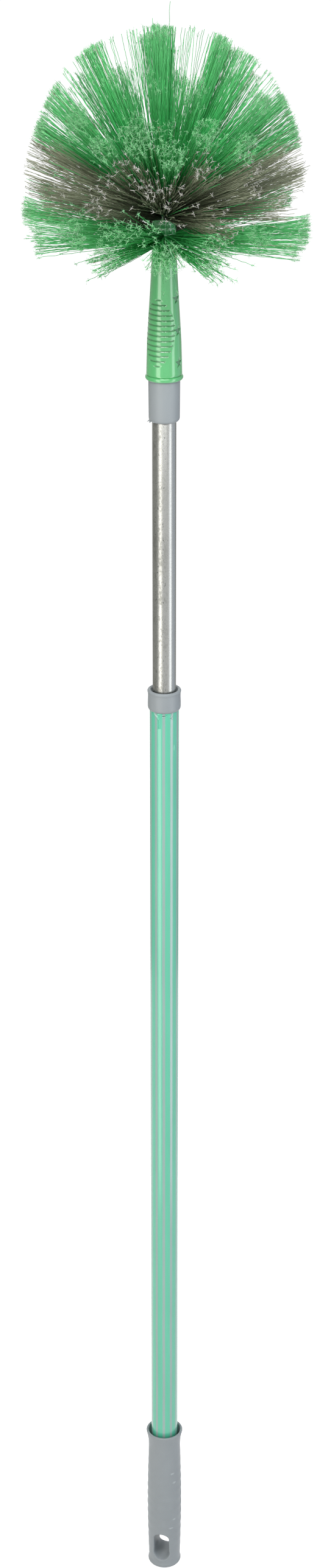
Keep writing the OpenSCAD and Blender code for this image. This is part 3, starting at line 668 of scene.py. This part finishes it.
def grip_sleeve():
    """The grip, with a hanging slot whose rim is rounded over."""
    low, high = GRIP_PATCH
    front = math.radians(-90 + SLOT_TURN)
    seam = -math.pi / 2
    flat, places = [], []

    def spot(turn, z, depth):
        """Keeps a point: unrolled for the triangles, and in place. depth is along the slot."""
        r = float(grip_radius(z))
        flat.append(Vector((turn * BELLY_R, z)))
        x, y = r * math.sin(turn), r * math.cos(turn) - math.copysign(depth, math.cos(turn))
        c, s = math.cos(front), math.sin(front)
        places.append((y * c - x * s, y * s + x * c, z))

    def beyond(x, z):
        """How far outside the slot's outline a place is."""
        return math.hypot(x, max(abs(z - SLOT_Z) - (SLOT_H - SLOT_W) / 2, 0)) - SLOT_W / 2

    edges = []
    rims = []
    for side in (0, 1):
        for step, a in enumerate(np.radians(np.linspace(90, 0, 8))):
            ring = len(flat)
            for x, z in slot_outline(SLOT_ROUND * (1 - math.sin(a))):
                turn = math.asin(x / float(grip_radius(z)))
                scoop = 1 + (SLOT_SCOOP - 1) * float(smooth((SLOT_Z - 2 - z) / 10))
                spot(turn if side == 0 else math.pi - turn, z, scoop * SLOT_ROUND * (1 - math.cos(a)))
            count = len(flat) - ring
            edges += [(ring + i, ring + (i + 1) % count) for i in range(count)]
            if step == 0:
                rims.append(np.arange(ring, ring + count))
    rows = round(high - low)
    for i in range(rows + 1):
        z = low + i
        for j in range(GRIP_SIDES + 1):
            turn = seam + j * TAU / GRIP_SIDES
            if beyond(float(grip_radius(z)) * math.sin(turn), z) > SLOT_ROUND + 0.45:
                spot(turn, z, 0)
    _, _, triangles, origins, _, _ = delaunay_2d_cdt(flat, edges, [], 0, 1e-6)
    origins = np.array([origin[0] for origin in origins])
    triangles = origins[np.array([t for t in triangles if len(t) == 3])]
    # Only the triangles that fill the slot's opening have all their corners on its rim
    keep = ~np.isin(triangles, np.concatenate(rims)).all(1)
    parts = [(np.array(places), triangles[keep])]
    # The slot's walls, from rim to rim
    ahead, behind = (np.array(places)[rim] for rim in rims)
    walls = np.concatenate([ahead + (behind - ahead) * t for t in np.linspace(0, 1, 7)])
    count = len(ahead)
    i, j = np.meshgrid(np.arange(6), np.arange(count), indexing="ij")
    k = (j + 1) % count
    quads = [i * count + j, i * count + k, (i + 1) * count + k, (i + 1) * count + j]
    parts.append((walls, np.stack(quads, -1).reshape(-1, 4)))
    # Below and above the slot the grip is turned
    foot = arc(BUTT_R - BUTT_ROUND, BUTT_ROUND, BUTT_ROUND, -90, 30, 10)
    below = [(ON_AXIS, 0), (5, 0)] + foot + [(13.42, 5.0), (13.33, 5.7), (NECK_R, low)]
    above = [(float(grip_radius(z)), z) for z in np.arange(high, GRIP_LEN - LIP_ROUND, 1.0)]
    above += arc(LIP_R - LIP_ROUND, GRIP_LEN - LIP_ROUND, LIP_ROUND, 15, 172, 12)
    above += [(12.6, 135.4), (11.9, 132.4), (11.35, 129.6), (SEAT_R, 127)]
    above += [(SEAT_R, TUBE_Z), (5, TUBE_Z), (ON_AXIS, TUBE_Z)]
    for outline in (below, above):
        parts.append(turned(outline, GRIP_SIDES, start=front + seam))
    points, faces, base = [], [], 0
    for p, f in parts:
        points.append(p)
        if f.shape[1] == 4:
            f = np.concatenate([f[:, [0, 1, 2]], f[:, [0, 2, 3]]])
        faces.append(f + base)
        base += len(p)
    points, faces = np.concatenate(points), np.concatenate(faces)
    made = piece("grip_sleeve", points, faces, grey_plastic, "handle", "grey_plastic", weld=True)
    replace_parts(made, "grip")


# The moulded socket, its stem and the hub that the tufts stand in
HEAD_TURN, TUFT_TURN = -25, -32
STEM_TOP = TIP_TOP + 97.2
CONE_BASE = TIP_TOP + 3.6
SOCKET_R, HUB_R, FLANGE_R = 12.95, 8.5, 13.7
STEM_HEIGHTS = [0, 0.06, 0.14, 0.25, 0.34, 0.44, 0.54, 0.64, 0.74, 0.88, 1]
STEM_DROPS = [0, 0.03, 0.07, 0.135, 0.235, 0.365, 0.495, 0.62, 0.745, 0.905, 1]
SOCKET_BORE_R, SOCKET_BORE_TOP = 9.56, NOSE_TOP + 0.3
PAD_Z, PAD_W, PAD_H = TIP_TOP + 35.5, 22.2, 49.4
RIB_PITCH, RIB_DEPTH = 3.65, 1.0
STARS, STAR_Z, STAR_PITCH, STAR_TURN = 3, TIP_TOP + 36.5, 23, 84
STAR_R, STAR_INNER, STAR_DEPTH = 4.5, 1.9, 0.7
RING_H = 4.1
RING_RADII = [1, 1, 1, 0.985, 0.96, 0.92, 0.85, 0.72, 0.54]
CROWN_H = 3.2
CROWN_Z = STEM_TOP + RING_H * len(RING_RADII)


def stem_radius(z):
    """The socket's and stem's taper."""
    drop = np.interp((z - CONE_BASE) / (STEM_TOP - CONE_BASE), STEM_HEIGHTS, STEM_DROPS)
    return SOCKET_R - (SOCKET_R - HUB_R) * drop


def socket_relief(angle, r, z):
    """Two oval thumb pads with rounded ribs, and two columns of shallow stars."""
    rise = np.zeros(np.broadcast_shapes(angle.shape, z.shape))
    turn = angle - math.radians(HEAD_TURN)
    for middle in (-math.pi / 2, math.pi / 2):
        away = (turn - middle + math.pi) % TAU - math.pi
        across = np.where(np.abs(away) < math.pi / 2, r * np.sin(away), 99)
        oval = np.sqrt((across / (PAD_W / 2)) ** 2 + ((z - PAD_Z) / (PAD_H / 2)) ** 2)
        # Flat-topped ribs with a rib in the middle of the pad and narrow grooves between them
        groove = np.abs(2 * ((z - PAD_Z) / RIB_PITCH - np.round((z - PAD_Z) / RIB_PITCH)))
        rib = np.sqrt(np.clip(1 - groove**3, 0, 1))
        rise = rise - RIB_DEPTH * (1 - 0.92 * rib) * smooth((1 - oval) / 0.05)
    for middle in (math.radians(STAR_TURN) - math.pi / 2, math.radians(STAR_TURN) + math.pi / 2):
        away = (turn - middle + math.pi) % TAU - math.pi
        for i in range(STARS):
            x = r * away
            y = z - STAR_Z - STAR_PITCH * (i - (STARS - 1) / 2)
            reach = np.hypot(x, y)
            fold = np.abs((np.arctan2(x, y) + TAU / 10) % (TAU / 5) - TAU / 10)
            # Distance inside the straight edge from a point of the star to the notch beside it
            edge = (STAR_INNER * math.cos(TAU / 10) - STAR_R, STAR_INNER * math.sin(TAU / 10))
            size = math.hypot(*edge)
            inside = (edge[1] * (STAR_R - reach * np.cos(fold)) + edge[0] * reach * np.sin(fold)) / size
            rise = rise - STAR_DEPTH * smooth(inside / 0.28 + 0.3)
    return np.where(r > SOCKET_BORE_R + 0.1, rise, 0)


def socket_and_hub():
    """One moulding: flanged socket, tapering stem, and hub with a groove between the rings of tufts."""
    bead = [
        (FLANGE_R - 1.3 * (1 - math.cos(a)), TIP_TOP + 1.75 * (1 + math.sin(a)))
        for a in np.radians(np.linspace(-90, 62, 12))
    ]
    # Rows lie closer where the pads and stars are
    ribbed = np.arange(1064, 1122, 0.26)
    heights = (*np.arange(CONE_BASE + 0.3, 1064, 0.9), *ribbed, *np.arange(1122.5, STEM_TOP, 1.5))
    outline = [(SOCKET_BORE_R, TIP_TOP + 0.5), (SOCKET_BORE_R + 0.5, TIP_TOP)] + bead
    # The groove line over the flange
    outline += [(12.5, 1059.5), (12.4, 1059.8), (12.65, CONE_BASE)]
    outline += [(float(stem_radius(z)), z) for z in heights]
    for k, share in enumerate(RING_RADII):
        r, z = HUB_R * share, STEM_TOP + RING_H * k
        outline += [(r - 0.3, z + 0.25), (r, z + 0.8), (r, z + RING_H - 0.8), (r - 0.3, z + RING_H - 0.25)]
    top = CROWN_Z + CROWN_H
    outline += [(3.6, CROWN_Z + 1), (2.6, top - 0.6), (1.9, top), (PIN_R, top)]
    outline += [(PIN_R, SOCKET_BORE_TOP), (SOCKET_BORE_R, SOCKET_BORE_TOP)]
    made = lathe("socket_and_hub", outline, green_plastic, "head", "green_moulding", 288, socket_relief)
    # How deep each point lies in a groove or star, for the painted shade of the finish
    places = np.empty(len(made.data.vertices) * 3)
    made.data.vertices.foreach_get("co", places)
    x, y, z = places.reshape(-1, 3).T / MM
    depth = made.data.attributes.new(RECESS, "FLOAT", "POINT")
    depth.data.foreach_set("value", -socket_relief(np.arctan2(y, x), np.hypot(x, y), z))
    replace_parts(made, "brush_block")


# The dome of bristles. The rings go from the lowest to the one below the crown.
DOME_R = 100
DOME_RISE = 132
DOME_POWER = 2.3
# The bristles lean a little to the right, as the photographed head does
DOME_MID = np.array([1.2, 0, STEM_TOP + RING_H * len(RING_RADII) / 2])
TUFT_R = 1.55
RING_TUFTS = [9, 9, 9, 9, 9, 9, 9, 6, 5]
RING_ANGLES = [-1.5, 3, 13, 21.5, 29.5, 38, 47.5, 62, 74]
RING_TURNS = [0, 0.5, 0, 0.5, 0, 0.5, 0, 0.25, 0.95]
RING_SAGS = [1, 0.8, 0.4, 0.2, 0.1, 0, 0, 0, 0, 0]
RING_NODES = ["tufts_low_1", "tufts_low_2", "tufts_grey_1", "tufts_grey_2", "tufts_grey_3"]
RING_NODES += ["tufts_top_1", "tufts_top_2", "tufts_top_3", "tufts_top_4"]
RING_COLOURS = ["green"] * 2 + ["grey"] * 3 + ["green"] * 5
# On the side seen first the tufts over the two low rings stand this much higher, over a bare band of the hub
ROOT_LIFTS = [0, 0, 9.6, 8.2, 6.8, 5.4, 4, 2.7, 1.3]
# They rise between these sines of their azimuth
LIFT_FROM, LIFT_OVER = 0.15, 0.4
# Tufts that lean from the even spacing, ring by ring: tuft to (azimuth, elevation)
LEANS = [
    {0: (-24, -5), 1: (8, -4.5), 6: (-152, -2), 7: (-115, -4.5), 8: (-71, -6.5)},
    {0: (-12, -2), 6: (-130, 3), 7: (-89, -1), 8: (-50, 1.5)},
    {6: (-150, 14), 7: (-120, 14), 8: (-66, 7)},
    {6: (-135, 21), 7: (-96, 20.5), 8: (-53, 21.5)},
    {7: (-106, 29), 8: (-71, 28.5)},
    {0: (-9, 33.5), 6: (-119, 36), 7: (-88, 34.5), 8: (-52, 35)},
    {1: (8, 43), 6: (-138, 45), 7: (-104, 42.5), 8: (-71, 40)},
    {0: (-6, 62), 3: (168, 63), 4: (-121, 60), 5: (-76, 57)},
    {0: (18, 71.5), 1: (108, 80), 2: (176, 68), 3: (-105, 82), 4: (-17, 72)},
]
LEAN_SPREAD = 1.6

# Tufts that fill out the rings: ring, then (azimuth, elevation, strands) of each
FILLERS = [
    (0, [(-93, -4, 40)]),
    (1, [(-112, 4.5, 60), (-70, 1, 50), (-99, 7, 34), (-128, 8, 20)]),
    (2, [(-84, 15.5, 26)]),
    (3, [(-115, 24.5, 50)]),
    (4, [(-87, 23.5, 40), (-52, 29, 50)]),
    (5, [(-104, 38, 60), (-135, 39, 40), (-166, 37, 60), (-7, 38, 46)]),
    (6, [(-176, 45, 36), (-4, 47, 30), (-93, 42, 44), (38, 49, 40), (142, 49, 40)]),
    (7, [(90, 57, 48), (-98, 58, 30), (40, 60, 40)]),
    (8, [(170, 77, 8), (-170, 81, 6), (5, 80, 7), (-5, 84, 4)]),
    (7, [(175, 56, 4), (0, 53, 8)]),
]
# Strands of the other colour, in green and in grey tufts
ODD_SHARES = [0.003, 0.003, 0.02, 0.02, 0.02, 0.003, 0.003, 0.003, 0.003, 0.003]

# Strands of a tuft, and of one at the front, which is where the sine of its azimuth is below a value
STRANDS, FRONT_STRANDS, FRONT = 54, 78, -0.6
CROWN_STRANDS = 66
STRAND_STEPS = 20
# Radius of a strand at the hub and at its worn end
ROOT_R, END_R = 0.26, 0.19
# Length and size of the crimp's waves, and the strands' slow bow
CRIMP_WAVES, CRIMP_SIZES, BOW = (8.5, 16), (0.1, 0.42), 1.0
# Clumps that the strands of a tuft are drawn into, and how far
CLUMPS, CLUMP_DRAW = 6, 0.3
# How deep a strand is set in the hub
ROOT_SINK = 1.2
# Strands of a tuft that stray, and how much further they spread
STRAYS, STRAY_REACH = 0.1, 1.8
# Spread of a tuft at the dome and unevenness of its trimmed ends, ring by ring and for the crown
SPREADS = [15, 15, 15.5, 16, 15.5, 14, 14, 13, 13, 13.5]
# Tufts away from the front are splayed less
SIDE_SPLAY = 0.8
TRIMS = [0.05, 0.04, 0.1, 0.12, 0.1, 0.03, 0.025, 0.022, 0.022, 0.022]
# Reach of the ends, as a share of the dome
REACHES = [1.012, 1.012, 1, 1, 0.995, 0.99, 0.986, 0.986, 0.986, 0.986]
SPLIT_SHARES = [1, 1, 0.3, 0.3, 0.35, 1, 1, 0.7, 0.45, 0.4]
# Grey ends away from the front are split less
SIDE_SPLITS, GREY_FRONT = 0.3, -0.75
SAG = 2
SPLITS = 7
# The hairs of a split leave the strand over this length, green and grey
SPLIT_RUNS = {"green": 3.4, "grey": 0.6}
SPLIT_STEPS = 3
HAIR_LENGTHS, HAIR_LEANS, HAIR_CURLS = (1.0, 3.2), (0.15, 1.2), (-0.3, 0.6)
SPLIT_R = 0.13
# Flyaway hairs that stand past the dome: (ring, tuft) to how far
FLYAWAYS = {(8, 3): 9, (3, 4): 4, (3, 0): 4, (6, 2): 6}


def dome_reach(elevation):
    """Distance from the middle of the hub to the dome, at an angle above the level."""
    c, s = np.cos(elevation), np.sin(elevation)
    above = (np.abs(c / DOME_R) ** DOME_POWER + np.abs(s / DOME_RISE) ** DOME_POWER) ** (-1 / DOME_POWER)
    return np.where(elevation > 0, above, DOME_R / c)


def on_dome(points, share):
    """Points moved along their lines from the middle of the hub until they are at a share of the dome."""
    v = points - DOME_MID
    n = np.linalg.norm(v, axis=-1)
    return DOME_MID + v / n[..., None] * (dome_reach(np.arcsin(v[..., 2] / n)) * share)[..., None]


def tubes(lines, radii, turns, across, up):
    """Three-sided tubes along lines: their points and faces. lines is strands x levels x 3."""
    count, levels = lines.shape[:2]
    q = turns[:, None] + np.arange(3) * TAU / 3
    ring = np.cos(q)[..., None] * across + np.sin(q)[..., None] * up
    points = lines[:, :, None, :] + radii[:, :, None, None] * ring[:, None]
    s, l, k = np.meshgrid(np.arange(count), np.arange(levels - 1), np.arange(3), indexing="ij")
    a = (s * levels + l) * 3 + k
    b = (s * levels + l) * 3 + (k + 1) % 3
    faces = np.stack([a, b, b + 3, a + 3], -1).reshape(-1, 4)
    return points.reshape(-1, 3), faces


def strand_uv(count, levels, low, high, rows):
    """The map of such tubes: along the strand one way, and a row of its own the other."""
    s, l, k = np.meshgrid(np.arange(count), np.arange(levels - 1), np.arange(3), indexing="ij")
    step = (high - low) / (levels - 1)
    u, v, thick = low + l * step, rows[s], 0.0005
    corners = [(u, v), (u, v + thick), (u + step, v + thick), (u + step, v)]
    return np.stack([np.stack(corner, -1) for corner in corners], -2).reshape(-1, 2)


def tuft(rng, foot, azimuth, elevation, count, k, rows, flyaway=0):
    """Bristles of one tuft of a ring as (points, faces, uv)."""
    az, el = math.radians(azimuth), math.radians(elevation)
    heading = np.array([math.cos(el) * math.cos(az), math.cos(el) * math.sin(az), math.sin(el)])
    end = DOME_MID + float(dome_reach(np.array(el))) * heading
    length = np.linalg.norm(end - foot)
    axis = (end - foot) / length
    side = np.array([-math.sin(az), math.cos(az), 0.0])
    up = np.cross(axis, side)
    # Places in the round of the tuft, drawn a little into clumps, and a few stragglers
    rho, beta = np.sqrt(rng.random(count)), rng.random(count) * TAU
    place = np.stack([rho * np.cos(beta), rho * np.sin(beta)], -1)
    clumps = rng.normal(0, 0.5, (CLUMPS, 2))
    mate = clumps[rng.integers(0, CLUMPS, count)]
    wide = place + CLUMP_DRAW * (mate - place) + rng.normal(0, 0.06, (count, 2))
    wide[rng.random(count) < STRAYS] *= STRAY_REACH
    start = foot - axis * ROOT_SINK + TUFT_R * 0.9 * (place[:, :1] * side + place[:, 1:] * up)
    splay = SPREADS[k] * (SIDE_SPLAY + (1 - SIDE_SPLAY) * max(0, -math.sin(az)))
    far = end + splay * (wide[:, :1] * side + wide[:, 1:] * up)
    share = REACHES[k] - TRIMS[k] * rng.random(count) ** 2
    if flyaway:
        share[0] = 1 + flyaway / length
    far = on_dome(far, share)
    far[:, 2] -= SAG * RING_SAGS[k]
    run = (far - start) @ axis
    out = (far - start) - run[:, None] * axis
    t = np.linspace(0, 1, STRAND_STEPS + 1)
    lines = start[:, None] + run[:, None, None] * t[None, :, None] * axis
    lines = lines + out[:, None] * (t**1.15)[None, :, None]
    # Crimp of the fibre, which grows towards its free end, and a slow bow
    for way in (side, up):
        waves = rng.uniform(*CRIMP_WAVES, (count, 1))
        phase = rng.uniform(0, TAU, (count, 1))
        size = rng.uniform(*CRIMP_SIZES, (count, 1))
        crimp = size * np.sin(TAU * t * length / waves + phase) * (0.2 + 0.8 * t) * np.minimum(1, 6 * t)
        bow = rng.normal(0, BOW, (count, 1)) * np.sin(math.pi * t)
        lines += (crimp + bow)[..., None] * way
    own_rows = rng.uniform(*rows, count)
    own_rows[rng.random(count) < ODD_SHARES[k]] = ODD_ROW / 2
    radii = np.linspace(ROOT_R, END_R, STRAND_STEPS + 1)[None].repeat(count, 0)
    points, faces = tubes(lines, radii, rng.uniform(0, TAU, count), side, up)
    uv = strand_uv(count, STRAND_STEPS + 1, *STRAND_SPAN, own_rows)
    # The split end: a few curling hairs
    beside = RING_COLOURS[k] == "grey" and math.sin(az) > GREY_FRONT
    share = SPLIT_SHARES[k] * (SIDE_SPLITS if beside else 1)
    split = np.flatnonzero(rng.random(count) < share)
    many = len(split) * SPLITS
    last = np.repeat(lines[split, -1], SPLITS, 0)
    turn = np.repeat(rng.uniform(0, TAU, len(split)), SPLITS)
    turn = turn + np.tile(np.arange(SPLITS), len(split)) * TAU / SPLITS
    turn += rng.normal(0, 0.5, many)
    lateral = np.cos(turn)[:, None] * side + np.sin(turn)[:, None] * up
    lean = rng.uniform(*HAIR_LEANS, many)
    curl = rng.uniform(*HAIR_CURLS, many)
    hair = rng.uniform(*HAIR_LENGTHS, many) / SPLIT_STEPS
    hairs = [last - (0.2 + SPLIT_RUNS[RING_COLOURS[k]] * rng.random(many))[:, None] * axis]
    for step in range(SPLIT_STEPS):
        bend = (lean + curl * step)[:, None]
        hairs.append(hairs[-1] + hair[:, None] * (np.cos(bend) * axis + np.sin(bend) * lateral))
    radii = np.linspace(SPLIT_R, SPLIT_R * 0.6, SPLIT_STEPS + 1)[None].repeat(many, 0)
    more, quads = tubes(np.stack(hairs, 1), radii, turn, side, up)
    faces = np.concatenate([faces, quads + len(points)])
    hair_rows = np.repeat(own_rows[split], SPLITS)
    uv = np.concatenate([uv, strand_uv(many, SPLIT_STEPS + 1, *HAIR_SPAN, hair_rows)])
    return np.concatenate([points, more]), faces, uv


def joined(parts):
    """Several (points, faces, uv) as one."""
    points, faces, maps = zip(*parts)
    starts = np.cumsum([0] + [len(p) for p in points])
    faces = np.concatenate([f + start for f, start in zip(faces, starts)])
    return np.concatenate(points), faces, np.concatenate(maps)


def root_place(k, azimuth):
    """Where a tuft of a ring stands on the hub."""
    a = math.radians(azimuth)
    rise = RING_H * (k + 0.5) + ROOT_LIFTS[k] * float(smooth((LIFT_FROM - math.sin(a)) / LIFT_OVER))
    r = HUB_R * RING_RADII[int(rise / RING_H)]
    return np.array([r * math.cos(a), r * math.sin(a), STEM_TOP + rise])


def bristle_ring(k):
    """One ring of tufts, in place of its CAD ring."""
    rng = np.random.default_rng(40 + k)
    n = RING_TUFTS[k]
    parts = []
    for j in range(n):
        azimuth = TUFT_TURN + 360 * (j + RING_TURNS[k]) / n
        aim = (azimuth, RING_ANGLES[k]) + rng.normal(0, LEAN_SPREAD, 2)
        aim = LEANS[k].get(j, aim)
        rows = ((j + 0.1) / n, (j + 0.9) / n)
        count = FRONT_STRANDS if math.sin(math.radians(aim[0])) < FRONT else STRANDS
        parts.append(tuft(rng, root_place(k, azimuth), *aim, count, k, rows, FLYAWAYS.get((k, j), 0)))
    name = RING_NODES[k]
    points, faces, uv = joined(parts)
    made = piece(name.replace("tufts", "bristles"), points, faces, *fibre(k), uv)
    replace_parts(made, name)


def fibre(k):
    """Finish, body and slot of a ring's bristles."""
    finish = grey_fibre if RING_COLOURS[k] == "grey" else green_fibre
    return finish, "head", RING_COLOURS[k] + "_bristle"


def filling_bristles(name, rings):
    """The tufts that fill out some of the rings."""
    rng = np.random.default_rng(80 + rings[0])
    parts = []
    for k, tufts in FILLERS:
        if k not in rings:
            continue
        for azimuth, elevation, count in tufts:
            parts.append(tuft(rng, root_place(k, azimuth), azimuth, elevation, count, k, (0.02, 0.98)))
    points, faces, uv = joined(parts)
    piece(name, points, faces, *fibre(rings[0]), uv)


def bristle_crown():
    """The tuft that points straight up."""
    foot = np.array([0, 0, CROWN_Z + CROWN_H])
    points, faces, uv = tuft(np.random.default_rng(60), foot, 0, 90, CROWN_STRANDS, 9, (0.05, 0.95), 12)
    made = piece("bristles_crown", points, faces, green_fibre, "head", "green_bristle", uv)
    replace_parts(made, "tufts_crown")


steel_pole()
film_wrap()
collar_cap()
tip_and_nose()
tip_flash()
grip_sleeve()
socket_and_hub()
for ring in range(len(RING_TUFTS)):
    bristle_ring(ring)
filling_bristles("bristles_low_filling", [0, 1])
filling_bristles("bristles_grey_filling", [2, 3, 4])
filling_bristles("bristles_top_filling", [5, 6, 7, 8])
bristle_crown()


# Studio


def shown_share(tree):
    """1 for the rays that show the room: to the eye, and in what is glossy or clear."""
    camera, glossy, clear = (
        add(tree, "LightPath", {}, kind) for kind in ("Is Camera Ray", "Is Glossy Ray", "Is Transmission Ray")
    )
    either = add(tree, "Math", {0: camera, 1: glossy}, operation="MAXIMUM")
    return add(tree, "Math", {0: either, 1: clear}, operation="MAXIMUM")


FILL = (0.33, 0.335, 0.34, 1)


def light_room():
    """A white room with a plain fill."""
    world = bpy.data.worlds.new("room")
    world.use_nodes = True
    tree = world.node_tree
    bpy.context.scene.world = world
    shade = add(tree, "Mix", {0: shown_share(tree), 6: FILL, 7: (1, 1, 1, 1)}, 2, **OF_COLOURS)
    plug(tree, tree.nodes["Background"], {"Color": shade})


# The floor's shade for the light that it gives back and as it is shown, and its own glow
FLOOR_SHADE, FLOOR_SHOWN = (0.8, 0.8, 0.8, 1), (0.42, 0.42, 0.42, 1)
FLOOR_GLOW = 0.9


def lay_floor():
    """A pale floor that keeps the object's shadow and is clear from below."""
    size = 60
    mesh = bpy.data.meshes.new("floor")
    corners = [(-size, -size, 0), (size, -size, 0), (size, size, 0), (-size, size, 0)]
    mesh.from_pydata(corners, [], [(0, 1, 2, 3)])
    floor = placed("floor", mesh)
    made, tree, shader = material("matt_white_floor")
    tree.nodes.remove(shader)
    shown = shown_share(tree)
    shade = add(tree, "Mix", {0: shown, 6: FLOOR_SHADE, 7: FLOOR_SHOWN}, 2, **OF_COLOURS)
    matt = add(tree, "BsdfDiffuse", {"Color": shade})
    glow = add(tree, "Math", {0: shown, 1: FLOOR_GLOW}, operation="MULTIPLY")
    both = add(tree, "AddShader", {0: matt, 1: add(tree, "Emission", {"Strength": glow})})
    below = add(tree, "NewGeometry", {}, "Backfacing")
    seen = add(tree, "MixShader", {0: below, 1: both, 2: add(tree, "BsdfTransparent", {})})
    plug(tree, tree.nodes["Material Output"], {"Surface": seen})
    mesh.materials.append(made)


def softbox(name, place, back, width, height, radiance, tint="#ffffff", mirrored=True):
    """A lamp whose back points along a direction. Its radiance is in shares of the white room's."""
    data = bpy.data.lights.new(name, "AREA")
    data.shape = "RECTANGLE"
    data.size, data.size_y = width, height
    data.energy = radiance * math.pi * width * height
    data.color = colour(tint)[:3]
    lamp = placed(name, data)
    lamp.location = place
    lamp.rotation_euler = back.to_track_quat("Z", "Y").to_euler()
    lamp.visible_camera = False
    lamp.visible_glossy = mirrored


SOFTBOX_DISTANCE, SOFTBOX_TOP = 0.62, 1.4


def tall_softbox(name, bearing, width_deg, radiance, tint="#ffffff", mirrored=True):
    """A tall lamp beside the pole, its bearing taken from the camera to the viewer's right."""
    width = 2 * SOFTBOX_DISTANCE * math.tan(math.radians(width_deg / 2))
    a = math.radians(bearing - 90)
    out = Vector((math.cos(a), math.sin(a), 0))
    place = out * SOFTBOX_DISTANCE + Vector((0, 0, SOFTBOX_TOP / 2))
    softbox(name, place, out, width, SOFTBOX_TOP, radiance, tint, mirrored)


def board(name, start, end, shade, distance=1.1, low=-0.2, high=2.4):
    """A grey board that only polished surfaces see, so that their edges stand out, as on a studio table."""
    steps = 12
    points, faces = [], []
    for i in range(steps + 1):
        a = math.radians(start + (end - start) * i / steps - 90)
        points += [(distance * math.cos(a), distance * math.sin(a), z) for z in (low, high)]
    for i in range(steps):
        faces.append((2 * i, 2 * i + 2, 2 * i + 3, 2 * i + 1))
    mesh = bpy.data.meshes.new(name)
    mesh.from_pydata(points, [], faces)
    made, tree, shader = material(name)
    tree.nodes.remove(shader)
    plug(tree, tree.nodes["Material Output"], {"Surface": add(tree, "Emission", {"Color": shade})})
    mesh.materials.append(made)
    screen = placed(name, mesh)
    for way in ("camera", "diffuse", "shadow", "transmission"):
        setattr(screen, "visible_" + way, False)


light_room()
lay_floor()
tall_softbox("left_softbox", -38, 25, 2.5, "#fffaf2")
tall_softbox("right_softbox", 60, 18, 2.3, "#f4f8ff")
tall_softbox("back_softbox", 180, 60, 1.1, mirrored=False)
# Above the head and before it, out of all that the upright walls mirror
HEAD_LAMP, HEAD_AIM = Vector((0, -0.8, 1.85)), Vector((0, 0, 1.18))
softbox("head_softbox", HEAD_LAMP, HEAD_LAMP - HEAD_AIM, 0.9, 0.5, 7.5)
board("left_board", -160, -61, "#bdbdb8")
board("right_board", 77, 120, "#e4ecf8")
board("right_back_board", 120, 160, "#b8b8b6")
